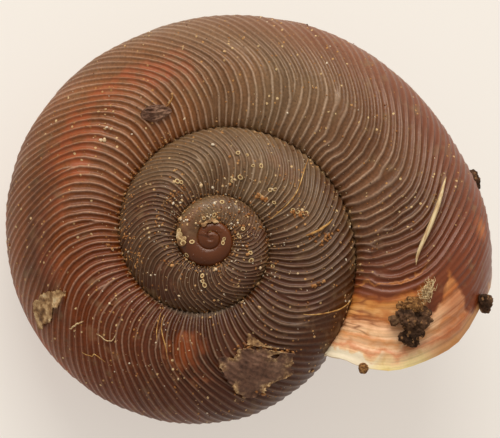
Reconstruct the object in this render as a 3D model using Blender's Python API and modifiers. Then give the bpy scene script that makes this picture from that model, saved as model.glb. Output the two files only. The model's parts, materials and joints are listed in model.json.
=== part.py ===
"""Land snail shell: a low, ribbed, right-handed spiral lying on its base with the spire up.

The shell is one thin-walled tube that grows wider as it winds round an axis. The apex is at the top,
and each turn (whorl) is stuck to the one before it along the suture. The mouth faces -Y and the
greatest width lies along X. The origin is on the surface that the shell lies on, in the middle of its
footprint. Bits of forest litter are stuck to the shell, each of them a piece of its own.

Places on the shell are given by growth, in turns from the lip (0 at the lip, -1 a full turn back),
and by a station across the whorl: 0 suture, 1 crown, 2 periphery, 3 base, 4 edge of the umbilicus.
"""

import math

import bmesh
import bpy
from mathutils import Matrix, Vector
from mathutils.noise import noise

MM = 0.001

# Growth of the whorls
LIP_RADIUS = 15.5 * MM       # axis to the outermost point of the last whorl, at the lip
LAST_GROWTH = 0.632          # the radius grows by e to this power in one turn on the last whorl
EARLY_GROWTH = 0.950         # and by e to this power on the turns before it
GROWTH_CHANGE = -1.05        # turn at which the growth slows
GROWTH_BLEND = 0.08          # turns over which it slows
FIRST_TURN = -3.5            # the spiral starts here, at the edge of the nucleus

# Outline of a whorl, as shares of its own radius or of its visible width
CONE_SLOPE = 0.30            # drop of the suture from the apex for each unit of radius
CROWN_RISE = 0.11            # crown above the suture, as a share of the visible width
CROWN_PLACE = 0.38           # crown outward from the suture, as a share of the visible width
PERIPHERY_DROP = (0.38, 0.48)    # depth of the periphery below the apex, a turn back and at the lip
BASE_DROP = (0.80, 0.88)         # depth of the base, a turn back and at the lip
BASE_PLACE = 0.52            # radius of the lowest line of the base
UMBILICUS_RADIUS = 0.17      # radius of the umbilicus on the first turn
UMBILICUS_DROP = 0.38        # depth of its edge on the first turn
SUTURE_STATION = 2 - 15 / 90     # the next whorl is stuck on here, 15 degrees above the periphery
COLUMELLA_STATION = 3 + 40 / 90  # and here, in the umbilicus
WALL = 0.42 * MM
NUCLEUS_TOP = 0.02 * MM      # the apex above the level that the sutures start from

# Ribs, two rings to each: a crest and a groove
RINGS_PER_TURN = 112
RIB_HEIGHT = 0.20 * MM
RIB_START = (-2.55, -2.20)   # turns over which the ribs begin, after the smooth first whorls
RIB_FADE = (-0.10, 0.02)     # turns over which they die out towards the lip
BASE_RIBS = 0.45             # strength of the ribs on the base
BASE_WEAR = (-0.5526, -0.540, -0.476, -0.4635)   # turns between which the base has worn smooth

# Growth lines, which ribs and lip follow: (station, degrees by which the line leads)
LEAN_RINGS = 10              # rings by which the lip runs ahead of the old whorl inside the mouth
LEAN_ACROSS = 360 * LEAN_RINGS / RINGS_PER_TURN
SUTURE_LEAN = -7.0
COLUMELLA_LEAN = -22.0
LEAN = ((0, SUTURE_LEAN + LEAN_ACROSS), (1, 19.5), (1.5, 2), (SUTURE_STATION, SUTURE_LEAN),
        (2.3, -15), (3, -24), (COLUMELLA_STATION, COLUMELLA_LEAN),
        (4, COLUMELLA_LEAN + LEAN_ACROSS))

# Mesh of the shell: columns of corners across a whorl, rings of corners along it
STATIONS = (0, 0.5, 1, 1.3, 1.57, SUTURE_STATION, 1.93, 2.22, 2.5, 2.8, 3.07, 3.33,
            COLUMELLA_STATION, 3.7, 4)
SUTURE_COLUMN = STATIONS.index(SUTURE_STATION)
COLUMELLA_COLUMN = STATIONS.index(COLUMELLA_STATION)
LAST_COLUMN = len(STATIONS) - 1
OLD_COLUMNS = range(SUTURE_COLUMN + 1, COLUMELLA_COLUMN)   # the old whorl's face in the mouth
RINGS_BACK = RINGS_PER_TURN - LEAN_RINGS
LIP_RING = round(-FIRST_TURN * RINGS_PER_TURN)
MOUTH_RING = LIP_RING - RINGS_BACK     # ring of the old whorl where the mouth starts
UMBILICUS_RING = LIP_RING - round(1.75 * RINGS_PER_TURN)   # the steps in the umbilicus start here
HOLLOW_STEP = 4                        # rings from one section of the hollow to the next
HOLLOW_SECTIONS = 46                   # sections of the hollow, from the lip inward

# Litter
RIB_GAP = 0.06 * MM          # between a rib's crest and the litter on it
STEEPEST_REST = math.radians(45)   # the shell's axis is never further from upright than this


def ease(low, high, x):
    """0 below low, 1 above high and smooth between them."""
    t = min(1.0, max(0.0, (x - low) / (high - low)))
    return t * t * (3 - 2 * t)


def mix(pair, t):
    return pair[0] + (pair[1] - pair[0]) * t


def radius_at(turn):
    """Radius of the periphery, from the axis."""
    slowing = GROWTH_BLEND * math.log1p(math.exp((GROWTH_CHANGE - turn) / GROWTH_BLEND))
    return LIP_RADIUS * math.exp(LAST_GROWTH * turn - (EARLY_GROWTH - LAST_GROWTH) * slowing)


def edges_at(turn):
    """(radius, height) of the suture and of the umbilicus's edge, where a whorl starts and ends."""
    if turn < FIRST_TURN + 1:
        inner, outer = radius_at(turn - 1), radius_at(turn)
        return (inner, -CONE_SLOPE * inner), (UMBILICUS_RADIUS * outer, -UMBILICUS_DROP * outer)
    return section_point(turn - 1, SUTURE_STATION), section_point(turn - 1, COLUMELLA_STATION)


def section_point(turn, station):
    """(radius, height) of a point on the whorl's outline, which is four quarter ellipses."""
    suture, umbilicus = edges_at(turn)
    outer = radius_at(turn)
    age = ease(-1, 0, turn)
    width = outer - suture[0]
    crown = (suture[0] + CROWN_PLACE * width, suture[1] + CROWN_RISE * width)
    periphery = (outer, -mix(PERIPHERY_DROP, age) * outer)
    base = (BASE_PLACE * outer, -mix(BASE_DROP, age) * outer)
    quarter = min(3, int(station))
    start, end = ((suture, crown), (crown, periphery), (periphery, base), (base, umbilicus))[quarter]
    angle = (station - quarter) * math.pi / 2
    across, down = math.sin(angle), 1 - math.cos(angle)
    if quarter in (0, 2):   # upright where it starts, level where it ends
        across, down = down, across
    return start[0] + (end[0] - start[0]) * across, start[1] + (end[1] - start[1]) * down


def lean_at(station):
    """Turns by which a growth line leads at this station: a smooth curve through LEAN."""
    i = max(n for n in range(len(LEAN) - 1) if LEAN[n][0] <= station)
    (x0, y0), (x1, y1) = LEAN[i], LEAN[i + 1]

    def slope(n):
        low, high = LEAN[max(0, n - 1)], LEAN[min(len(LEAN) - 1, n + 1)]
        return (high[1] - low[1]) / (high[0] - low[0])

    span = x1 - x0
    t = (station - x0) / span
    curve = (2 * t - 3) * t * t
    degrees = (y0 * (1 + curve) - y1 * curve
               + span * t * (1 - t) * (slope(i) * (1 - t) - slope(i + 1) * t))
    return degrees / 360


def spun(turn, radius, height):
    """The whorls wind clockwise, seen from the apex."""
    angle = -2 * math.pi * turn
    return Vector((radius * math.cos(angle), radius * math.sin(angle), height))


def on_shell(turn, station, out=0.0):
    """Point on the shell without its ribs, or `out` above it."""
    radius, height = section_point(turn, station)
    step = 0.01
    ahead = section_point(turn, min(4, station + step))
    behind = section_point(turn, max(0, station - step))
    along = Vector((ahead[0] - behind[0], ahead[1] - behind[1])).normalized()
    return spun(turn, radius - along.y * out, height + along.x * out)


def rib_height(turn, station):
    grown = ease(*RIB_START, turn) * (1 - ease(*RIB_FADE, turn))
    edges = ease(0, 0.4, station) * ease(0, 0.4, 4 - station)
    side = 1 - (1 - BASE_RIBS) * ease(2.1, 3, station)
    start, worn_from, worn_to, end = BASE_WEAR
    side *= 1 - ease(start, worn_from, turn) * (1 - ease(worn_to, end, turn)) * ease(2.2, 2.5, station)
    return RIB_HEIGHT * math.sqrt(radius_at(turn) / LIP_RADIUS) * grown * edges * side


def ring_turn(ring):
    return FIRST_TURN + ring / RINGS_PER_TURN


class ShellMesh:
    """The shell's corners, each made once and then found by its name, and its faces."""

    def __init__(self):
        self.mesh = bmesh.new()
        self.corners = {}

    def corner(self, name, point):
        if name not in self.corners:
            self.corners[name] = self.mesh.verts.new(point)
        return self.corners[name]

    def outer(self, ring, column):
        """Corner on the outside. A whorl's edges are corners of the old whorl it is stuck to."""
        old = ring - RINGS_BACK
        if column == 0 and old >= 0:
            return self.outer(old, SUTURE_COLUMN)
        if column == LAST_COLUMN and old >= UMBILICUS_RING:
            return self.outer(old, COLUMELLA_COLUMN)
        station = STATIONS[column]
        turn = ring_turn(ring) + lean_at(station)
        stuck = ring <= MOUTH_RING and SUTURE_COLUMN <= column <= COLUMELLA_COLUMN
        crest = ring % 2 == 1 and not stuck
        out = rib_height(turn, station) if crest else 0
        return self.corner(("outer", ring, column), on_shell(turn, station, out))

    def inner(self, ring, column):
        """Corner inside the hollow, one wall's thickness in."""
        station = STATIONS[column]
        turn = ring_turn(ring) + lean_at(station)
        return self.corner(("inner", ring, column), on_shell(turn, station, -WALL))

    def old_face(self, ring, column):
        """Corner on the old whorl's face, which closes the hollow towards the axis."""
        if ring == LIP_RING:
            return self.outer(MOUTH_RING, column)
        station = STATIONS[column]
        turn = ring_turn(ring - RINGS_BACK) + lean_at(station)
        return self.corner(("old", ring, column), on_shell(turn, station))

    def face(self, *corners):
        kept = [c for i, c in enumerate(corners) if c not in corners[:i]]
        if len(kept) > 2:
            self.mesh.faces.new(kept)

    def strip(self, first, second, closed=False):
        """Quads between two rows of corners."""
        for i in range(len(first) if closed else len(first) - 1):
            j = (i + 1) % len(first)
            self.face(first[i], second[i], second[j], first[j])

    def fan(self, row, point):
        """Closes a ring of corners with triangles that meet in one point."""
        top = self.mesh.verts.new(point)
        for i, corner in enumerate(row):
            self.face(corner, row[(i + 1) % len(row)], top)

    def outside(self):
        """The spire and the last whorl, and the steps inside the umbilicus."""
        top = range(SUTURE_COLUMN + 1)
        side = range(COLUMELLA_COLUMN, LAST_COLUMN + 1)
        for ring in range(LIP_RING):
            if ring >= MOUTH_RING:
                shown = [range(LAST_COLUMN + 1)]
            else:
                shown = [top, side] if ring >= UMBILICUS_RING else [top]
            for columns in shown:
                self.strip([self.outer(ring, c) for c in columns],
                           [self.outer(ring + 1, c) for c in columns])
        start = [self.outer(0, c) for c in reversed(top[1:])]
        self.fan(start + [self.outer(ring, 0) for ring in range(RINGS_BACK)],
                 (0, 0, NUCLEUS_TOP))
        start = [self.outer(UMBILICUS_RING, c) for c in side[:-1]]
        first_turn = range(UMBILICUS_RING, UMBILICUS_RING + RINGS_BACK)
        edge = [self.outer(ring, LAST_COLUMN) for ring in first_turn]
        depth = min(corner.co.z for corner in edge)
        self.fan(start + edge, (0, 0, depth))

    def hollow(self):
        """The tube that the snail lived in, and the lip that joins it to the outside."""
        def section(ring):
            wall = [self.inner(ring, c) for c in range(1, LAST_COLUMN)]
            return wall + [self.old_face(ring, c) for c in reversed(OLD_COLUMNS)]

        rings = [LIP_RING - HOLLOW_STEP * n for n in range(HOLLOW_SECTIONS)]
        sections = [section(ring) for ring in rings]
        for first, second in zip(sections, sections[1:]):
            self.strip(first, second, closed=True)
        end = sections[-1]
        self.fan(end, sum((corner.co for corner in end), Vector()) / len(end))
        lip = [self.outer(LIP_RING, c) for c in range(LAST_COLUMN + 1)]
        old = [self.old_face(LIP_RING, c) for c in (OLD_COLUMNS[0], OLD_COLUMNS[-1])]
        self.strip(lip, [old[0]] + sections[0][:LAST_COLUMN - 1] + [old[1]])


def build_shell(material):
    shell = ShellMesh()
    shell.outside()
    shell.hollow()
    bmesh.ops.triangulate(shell.mesh, faces=shell.mesh.faces[:])
    bmesh.ops.recalc_face_normals(shell.mesh, faces=shell.mesh.faces[:])
    return finish_piece("shell", shell.mesh, material)


def finish_piece(name, bm, material, smooth_below=math.radians(28)):
    mesh = bpy.data.meshes.new(name)
    bm.to_mesh(mesh)
    bm.free()
    mesh.shade_smooth()
    mesh.set_sharp_from_angle(angle=smooth_below)
    mesh.materials.append(material)
    return add_to_collection(bpy.data.objects.new(name, mesh))


def add_to_collection(piece):
    bpy.data.collections["land snail shell"].objects.link(piece)
    return piece


def surface_frame(turn, station, out):
    """Matrix of a place on the shell: X along the growth, Y across the whorl, Z away from it."""
    place = on_shell(turn, station, out)
    away = (on_shell(turn, station, MM) - on_shell(turn, station)).normalized()
    along = on_shell(turn + 0.005, station) - on_shell(turn - 0.005, station)
    along = (along - away * along.dot(away)).normalized()
    frame = Matrix((along, away.cross(along), away)).transposed()
    return Matrix.Translation(place) @ frame.to_4x4()


def add_lump(name, turn, station, size, material, heading=0.0, rough=0.25, seed=1.0, detail=2):
    """A crumb of soil: a rough ball of this length, width and height, flat where it is stuck on."""
    bm = bmesh.new()
    bmesh.ops.create_icosphere(bm, subdivisions=detail, radius=1)
    for v in bm.verts:
        v.co *= 1 + rough * noise(v.co * 1.7 + Vector((seed, 0, 0)))
    lowest = -0.45
    for v in bm.verts:
        v.co.z = (max(v.co.z, lowest) - lowest) * size[2] / (1 - lowest)
        v.co.x *= size[0] / 2
        v.co.y *= size[1] / 2
    lump = finish_piece(name, bm, material)
    out = rib_height(turn, station) + RIB_GAP
    lump.matrix_local = surface_frame(turn, station, out) @ Matrix.Rotation(heading, 4, "Z")
    return lump


def add_scrap(name, turn, station, size, material, thickness, seed):
    """A torn scrap of leaf that follows the shell under it. Size is along and across the whorl."""
    rings, sides = 4, 18
    bm = bmesh.new()
    bmesh.ops.create_circle(bm, cap_ends=True, segments=sides, radius=1)
    bmesh.ops.inset_individual(bm, faces=bm.faces[:], thickness=1 / rings)
    bmesh.ops.inset_individual(bm, faces=bm.faces[-1:], thickness=1 / rings)
    centre = max(bm.faces, key=lambda f: len(f.verts))
    bmesh.ops.poke(bm, faces=[centre])
    radius = section_point(turn, station)[0]
    width = radius_at(turn) - edges_at(turn)[0][0]
    for v in bm.verts:
        torn = 1 + 0.22 * noise(v.co.normalized() * 1.6 + Vector((seed, 0, 0)))
        here = turn + v.co.x * torn * size[0] / 2 / (2 * math.pi * radius)
        there = station + v.co.y * torn * size[1] / 2 / width
        v.co = on_shell(here, there, rib_height(here, there) + RIB_GAP)
    scrap = finish_piece(name, bm, material)
    solidify = scrap.modifiers.new("thickness", "SOLIDIFY")
    solidify.thickness = thickness
    solidify.offset = 1
    return scrap


def add_straw(name, start, middle, end, radius, material):
    """A thin dry stalk, thickest in the middle, lying across the crown of the whorl."""
    count = 9
    curve = bpy.data.curves.new(name, "CURVE")
    curve.dimensions = "3D"
    curve.bevel_depth = radius
    curve.bevel_resolution = 2
    curve.use_fill_caps = True
    spline = curve.splines.new("POLY")
    spline.points.add(count - 1)
    highest = rib_height(*start) + RIB_GAP + radius
    first, last = on_shell(*start, highest), on_shell(*end, highest)
    bow = on_shell(*middle, highest) - (first + last) / 2
    for i, point in enumerate(spline.points):
        t = i / (count - 1)
        place = first.lerp(last, t) + bow * 4 * t * (1 - t)
        point.co = (*place, 1)
        point.radius = 0.35 + 0.65 * math.sin(math.pi * t)
    curve.materials.append(material)
    return add_to_collection(bpy.data.objects.new(name, curve))


def add_material(name, colour, roughness):
    material = bpy.data.materials.new(name)
    material.use_nodes = True
    shader = material.node_tree.nodes["Principled BSDF"]
    shader.inputs["Base Color"].default_value = (*colour, 1)
    shader.inputs["Roughness"].default_value = roughness
    shader.inputs["Metallic"].default_value = 0.0
    return material


def resting_matrix(shell):
    """Turns the shell as it comes to rest on its base, and puts the origin under its middle.

    It rests on the face of its convex hull that its centre of mass stands over.
    """
    bm = bmesh.new()
    bm.from_mesh(shell.data)
    volume, centre = 0.0, Vector()
    for face in bm.faces:
        a, b, c = (v.co for v in face.verts)
        part = a.dot(b.cross(c)) / 6
        volume += part
        centre += part * (a + b + c) / 4
    centre /= volume
    hull = bmesh.ops.convex_hull(bm, input=bm.verts[:], use_existing_faces=False)
    faces = [f for f in hull["geom"] if isinstance(f, bmesh.types.BMFace)]

    def under_centre(face):
        normal, corners = face.normal, [v.co for v in face.verts]
        sides = zip(corners, corners[1:] + corners[:1])
        return all((b - a).cross(centre - a).dot(normal) > 0 for a, b in sides)

    down = Vector((0, 0, -1))
    normals = []
    for face in faces:
        face.normal_update()
        if face.normal.dot(face.verts[0].co - centre) < 0:
            face.normal_flip()
        if face.normal.angle(down) < STEEPEST_REST and under_centre(face):
            normals.append(face.normal.copy())
    bm.free()
    turned = min(normals, key=lambda n: n.angle(down)).rotation_difference(down).to_matrix()
    points = [turned @ v.co for v in shell.data.vertices]
    low = Vector(min(p[axis] for p in points) for axis in range(3))
    high = Vector(max(p[axis] for p in points) for axis in range(3))
    stand = Vector(((low.x + high.x) / 2, (low.y + high.y) / 2, low.z))
    print("shell leans", round(math.degrees(turned.to_quaternion().angle), 2), "degrees; size in mm",
          [round(side / MM, 2) for side in high - low])
    return Matrix.Translation(-stand) @ turned.to_4x4()


def main():
    for old in list(bpy.data.objects):
        bpy.data.objects.remove(old)
    collection = bpy.data.collections.new("land snail shell")
    bpy.context.scene.collection.children.link(collection)

    chestnut = add_material("shell periostracum", (0.115, 0.045, 0.028), 0.42)
    soil = add_material("dark soil", (0.045, 0.032, 0.022), 0.95)
    leaf = add_material("rotted leaf", (0.16, 0.12, 0.09), 0.8)
    pale_leaf = add_material("pale leaf", (0.42, 0.32, 0.20), 0.85)
    stalk = add_material("dry stalk", (0.72, 0.58, 0.36), 0.6)

    lying = bpy.data.objects.new("lying", None)
    collection.objects.link(lying)
    shell = build_shell(chestnut)
    pieces = [
        shell,
        add_lump("soil_clod", 0.008, 1.08, (2.7 * MM, 2.3 * MM, 1.2 * MM), soil,
                 rough=0.5, seed=3.0, detail=3),
        add_lump("seed_husk", -0.376, 0.78, (1.5 * MM, 1.0 * MM, 0.4 * MM), soil,
                 heading=math.radians(-20), rough=0.15, seed=5.0),
        add_lump("rim_crumb", -0.026, 1.66, (0.9 * MM, 1.1 * MM, 0.6 * MM), soil,
                 rough=0.4, seed=7.0),
        add_lump("side_crumb", -0.100, 2.06, (1.0 * MM, 1.2 * MM, 0.5 * MM), soil,
                 rough=0.4, seed=9.0),
        add_scrap("leaf_scrap", -0.856, 1.30, (3.6 * MM, 3.0 * MM), leaf, 0.16 * MM, seed=2.0),
        add_scrap("pale_flake", -0.614, 1.41, (0.9 * MM, 1.7 * MM), pale_leaf, 0.20 * MM, seed=4.0),
        add_straw("straw", (-0.100, 1.44), (-0.0765, 1.24), (-0.036, 1.06), 0.13 * MM, stalk),
    ]
    for piece in pieces:
        piece.parent = lying
    lying.matrix_world = resting_matrix(shell)
    bpy.context.view_layer.update()


main()
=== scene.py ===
# %% [markdown]
# # The shell of a land snail
#
# This is the empty shell of a ground-living snail, about 26 mm across, low in the spire and covered in
# fine ribs, as it is picked up from the forest floor. A snail builds its shell at the lip only: it adds
# a little to the edge, turns, and adds again. So every place on the shell can be named by when it was
# made. Here that is `growth`, in turns before the lip, and `station`, which says how far across the
# whorl a place is: 0 suture, 1 crown, 2 widest line, 3 base, 4 edge of the umbilicus. Everything in this
# file, from the ribs to the last grain of soil, is put in its place with those two numbers.

# %% The frame that the pieces sit in
import json
import math
from functools import partial

import bpy
import numpy as np
from mathutils import Matrix, Vector

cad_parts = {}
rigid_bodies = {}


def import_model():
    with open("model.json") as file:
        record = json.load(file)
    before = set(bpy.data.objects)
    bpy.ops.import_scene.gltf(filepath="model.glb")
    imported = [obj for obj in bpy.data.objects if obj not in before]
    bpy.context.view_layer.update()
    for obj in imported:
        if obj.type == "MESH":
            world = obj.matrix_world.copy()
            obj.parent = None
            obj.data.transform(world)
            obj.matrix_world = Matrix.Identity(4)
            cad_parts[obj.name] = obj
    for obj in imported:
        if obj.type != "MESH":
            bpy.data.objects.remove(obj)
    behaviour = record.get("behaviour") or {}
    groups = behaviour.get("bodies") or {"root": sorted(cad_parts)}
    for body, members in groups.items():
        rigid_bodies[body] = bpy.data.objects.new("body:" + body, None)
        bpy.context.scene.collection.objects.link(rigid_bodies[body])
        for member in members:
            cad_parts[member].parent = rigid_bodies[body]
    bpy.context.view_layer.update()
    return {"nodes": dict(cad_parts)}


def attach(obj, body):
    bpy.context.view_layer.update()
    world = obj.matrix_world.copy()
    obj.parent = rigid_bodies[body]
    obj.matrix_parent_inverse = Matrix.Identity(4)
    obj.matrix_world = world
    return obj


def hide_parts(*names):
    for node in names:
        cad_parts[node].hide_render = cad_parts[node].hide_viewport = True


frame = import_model()
bpy.ops.object.select_all(action="DESELECT")
MM = 0.001
print("frame nodes:", sorted(frame["nodes"]))

# %% [markdown]
# ## How the whorls grow
#
# Each turn of a shell is wider than the last one by the same factor, so the radius follows an
# exponential curve. This snail slowed down in its last turn, so the curve has two rates with a soft
# change between them. The numbers are the same ones that the solid model was made from.

# %% Growth of the radius
LIP_RADIUS = 15.5 * MM
LAST_GROWTH, EARLY_GROWTH = 0.632, 0.950
GROWTH_CHANGE, GROWTH_BLEND = -1.05, 0.08
FIRST_TURN = -3.5


def ease(low, high, x):
    """0 below low, 1 above high and smooth between them."""
    t = np.clip((np.asarray(x, dtype=float) - low) / (high - low), 0, 1)
    return t * t * (3 - 2 * t)


def radius_at(turn):
    slowing = GROWTH_BLEND * np.log1p(np.exp((GROWTH_CHANGE - turn) / GROWTH_BLEND))
    return LIP_RADIUS * np.exp(LAST_GROWTH * turn - (EARLY_GROWTH - LAST_GROWTH) * slowing)


for turns_back in range(4):
    print(f"radius {turns_back} turns back: {float(radius_at(-turns_back)) / MM:.2f} mm")

# %% [markdown]
# ## The outline of one whorl
#
# Cut through, a whorl is a rounded shape of four quarter ellipses. It starts on the whorl before it, at
# the suture, and ends on it again in the umbilicus, so its outline is worked out from the older one.
# numpy works on all the places at once, which keeps a hundred thousand of them quick.

# %% Outline of a whorl
CONE_SLOPE = 0.30
CROWN_RISE, CROWN_PLACE = 0.11, 0.38
PERIPHERY_DROP, BASE_DROP, BASE_PLACE = (0.38, 0.48), (0.80, 0.88), 0.52
UMBILICUS_RADIUS, UMBILICUS_DROP = 0.17, 0.38
SUTURE_STATION, COLUMELLA_STATION = 2 - 15 / 90, 3 + 40 / 90


def outline(turn, station):
    """(radius, height) of places on the whorls."""
    turn = np.atleast_1d(np.asarray(turn, dtype=float))
    station = np.broadcast_to(np.asarray(station, dtype=float), turn.shape)
    inner, outer = radius_at(turn - 1), radius_at(turn)
    suture = np.array([inner, -CONE_SLOPE * inner])
    umbilicus = np.array([UMBILICUS_RADIUS * outer, -UMBILICUS_DROP * outer])
    later = turn >= FIRST_TURN + 1
    if later.any():
        suture[:, later] = outline(turn[later] - 1, SUTURE_STATION)
        umbilicus[:, later] = outline(turn[later] - 1, COLUMELLA_STATION)
    age = ease(-1, 0, turn)
    width = outer - suture[0]
    drop = PERIPHERY_DROP[0] + (PERIPHERY_DROP[1] - PERIPHERY_DROP[0]) * age
    base_drop = BASE_DROP[0] + (BASE_DROP[1] - BASE_DROP[0]) * age
    knots = np.stack([suture, suture + [CROWN_PLACE * width, CROWN_RISE * width],
                      [outer, -drop * outer], [BASE_PLACE * outer, -base_drop * outer], umbilicus])
    quarter = np.clip(station.astype(int), 0, 3)
    each = np.arange(len(turn))
    start, end = knots[quarter, :, each].T, knots[quarter + 1, :, each].T
    angle = (station - quarter) * math.pi / 2
    away, near = np.sin(angle), 1 - np.cos(angle)
    upright = quarter % 2 == 0      # upright where the quarter starts, level where it ends
    across, down = np.where(upright, near, away), np.where(upright, away, near)
    return start + (end - start) * np.stack([across, down])

# %% [markdown]
# ## Growth lines
#
# The lip is not a straight cut across the whorl: it runs ahead at the suture and falls back over the
# crown. Since the snail only ever adds to the lip, each rib and each growth line is an old lip and has
# the same shape. `lean_at` gives it, in turns.

# %% The shape of the lip
LEAN_ACROSS = 360 * 10 / 112
LEAN = np.array(((0, LEAN_ACROSS - 7), (1, 19.5), (1.5, 2), (SUTURE_STATION, -7), (2.3, -15), (3, -24),
                 (COLUMELLA_STATION, -22), (4, LEAN_ACROSS - 22)))


def lean_at(station):
    """Turns by which a growth line leads at each station: a smooth curve through LEAN."""
    x, y = LEAN.T
    slope = np.array([(y[min(n + 1, len(y) - 1)] - y[max(n - 1, 0)])
                      / (x[min(n + 1, len(x) - 1)] - x[max(n - 1, 0)]) for n in range(len(x))])
    station = np.asarray(station, dtype=float)
    i = np.clip(np.searchsorted(x, station, side="right") - 1, 0, len(x) - 2)
    span = x[i + 1] - x[i]
    t = (station - x[i]) / span
    curve = (2 * t - 3) * t * t
    return (y[i] * (1 + curve) - y[i + 1] * curve
            + span * t * (1 - t) * (slope[i] * (1 - t) - slope[i + 1] * t)) / 360

# %% [markdown]
# ## The way the shell lies
#
# On a table the shell tips over a little until it rests on its base, so its axis leans by 16 degrees.
# One matrix takes the upright shell to the way it lies.

# %% From the upright shell to the lying one
APEX = Vector((-2.89483, -2.64695, 10.54371)) * MM
LEANING = math.radians(16.407977)
LEANS_ABOUT = Vector((0.64157, -0.76707, 0))
LYING = Matrix.Translation(APEX) @ Matrix.Rotation(LEANING, 4, LEANS_ABOUT)
LYING_TURN = np.array(LYING.to_3x3())


def lying(radius, height, turn):
    """The whorls wind clockwise, seen from the apex."""
    angle = -2 * math.pi * turn
    upright = np.stack([radius * np.cos(angle), radius * np.sin(angle), height], axis=-1)
    return upright @ LYING_TURN.T + np.array(APEX)


def smooth_through(table, x):
    """A smooth curve through the points of a table, level at each of them."""
    x = np.asarray(x, dtype=float)
    value = np.full(x.shape, float(table[0][1]))
    for (low, before), (high, after) in zip(table, table[1:]):
        value = value + (after - before) * ease(low, high, x)
    return value


# At each station, how many turns of the thin lip have crumbled away
LIP_WEAR = ((0.3, 0), (0.6, 0.005), (1.2, 0.005), (1.45, 0.002), (1.70, 0.015), (2.1, 0.018), (2.9, 0))


def bare_surface(growth, station, out=0.0):
    """Places on the shell without its ribs, lifted off it by `out`."""
    places = np.broadcast_arrays(*np.atleast_1d(growth, station, out))
    shape = places[0].shape
    growth, station, out = (v.astype(float).reshape(-1) for v in places)
    turn = growth + lean_at(station) - smooth_through(LIP_WEAR, station) * ease(-0.09, 0, growth)
    radius, height = outline(turn, station)
    ahead = outline(turn, np.minimum(4, station + 0.01))
    behind = outline(turn, np.maximum(0, station - 0.01))
    along = (ahead - behind) / np.linalg.norm(ahead - behind, axis=0)
    return lying(radius - along[1] * out, height + along[0] * out, turn).reshape(*shape, 3)


print("lip at the widest line, mm:", np.round(bare_surface(0, 2)[0] / MM, 2))

# %% [markdown]
# ## Unevenness
#
# Nothing that grew is quite regular. This small noise function gives smooth random hills over growth
# and station, always the same ones for the same seed. It makes the ribs wander and sets their heights.

# %% Smooth noise over two numbers


def scramble(i, j, seed):
    """A random number from 0 to 1 for each pair of whole numbers."""
    mixed = np.sin(i * 127.1 + j * 311.7 + seed * 74.7) * 43758.5453
    return mixed - np.floor(mixed)


def hills(x, y, seed):
    """Smooth noise from -1 to 1, one hill to each unit of x and y."""
    x, y = np.broadcast_arrays(np.asarray(x, dtype=float), np.asarray(y, dtype=float))
    i, j = np.floor(x), np.floor(y)
    u, v = x - i, y - j
    u, v = u * u * (3 - 2 * u), v * v * (3 - 2 * v)
    low = scramble(i, j, seed) * (1 - u) + scramble(i + 1, j, seed) * u
    high = scramble(i, j + 1, seed) * (1 - u) + scramble(i + 1, j + 1, seed) * u
    return 2 * (low * (1 - v) + high * v) - 1

# %% [markdown]
# ## Ribs
#
# Near the suture the last turn has about 115 ribs, fewer in the turns before it. Further out, where the
# whorl is wider, there is room for more, so here and there a rib forks in two. Ribs are drawn by a
# phase that goes up by 1 from rib to rib. A fork is a place that the phase winds round once, so one
# more rib passes it on the outer side than on the inner side: that is what `arctan2` counts.
# `ribs` gives how high each place stands, its phase, and how strong the ribs are there. The finish reads
# the last two, so it can draw the crests sharper than the mesh has corners for.

# %% Forks
RIBS_INSIDE, INSIDE_CHANGE = 134, 0.47     # ribs in a turn at the lip; e to this power fewer, each turn back
RIBS_OUTSIDE, OUTSIDE_CHANGE = 150, 0.35
FORKS_IN_TURN, FIRST_FORK, FORK_SPREAD = 20, -2.35, 0.045
fork_number = np.arange(round(-FIRST_FORK * FORKS_IN_TURN))
fork_growth = FIRST_FORK + (fork_number + scramble(fork_number, 1, 11)) / FORKS_IN_TURN
fork_station = 0.72 + 0.72 * scramble(fork_number, 2, 12)


def forks(growth, station):
    turned = np.zeros(np.broadcast(growth, station).shape)
    for g, s in zip(fork_growth, fork_station):
        turned += np.arctan2(station - s, (g - growth) / FORK_SPREAD)
    return turned / (2 * math.pi)


print(len(fork_number), "forks")

# %% Ribs
RIB_SHARE = 0.24             # height of a rib, as a share of the distance between ribs
RIB_START = (-2.52, -2.08)
RIB_FADE = (-0.085, -0.055), (-0.05, -0.02)      # on the crown, and on the outer side
RUBBED = (-1.06, -0.97, -0.93, -0.86)            # growth where the outer side is rubbed flat
BASE_WEAR = (-0.5526, -0.540, -0.476, -0.4635)   # growth where the base is worn by the ground


def between(soft_span, x):
    """1 in the middle of a span and 0 outside it, with soft ends."""
    start, full, still_full, end = soft_span
    return ease(start, full, x) * ease(end, still_full, x)


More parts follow.
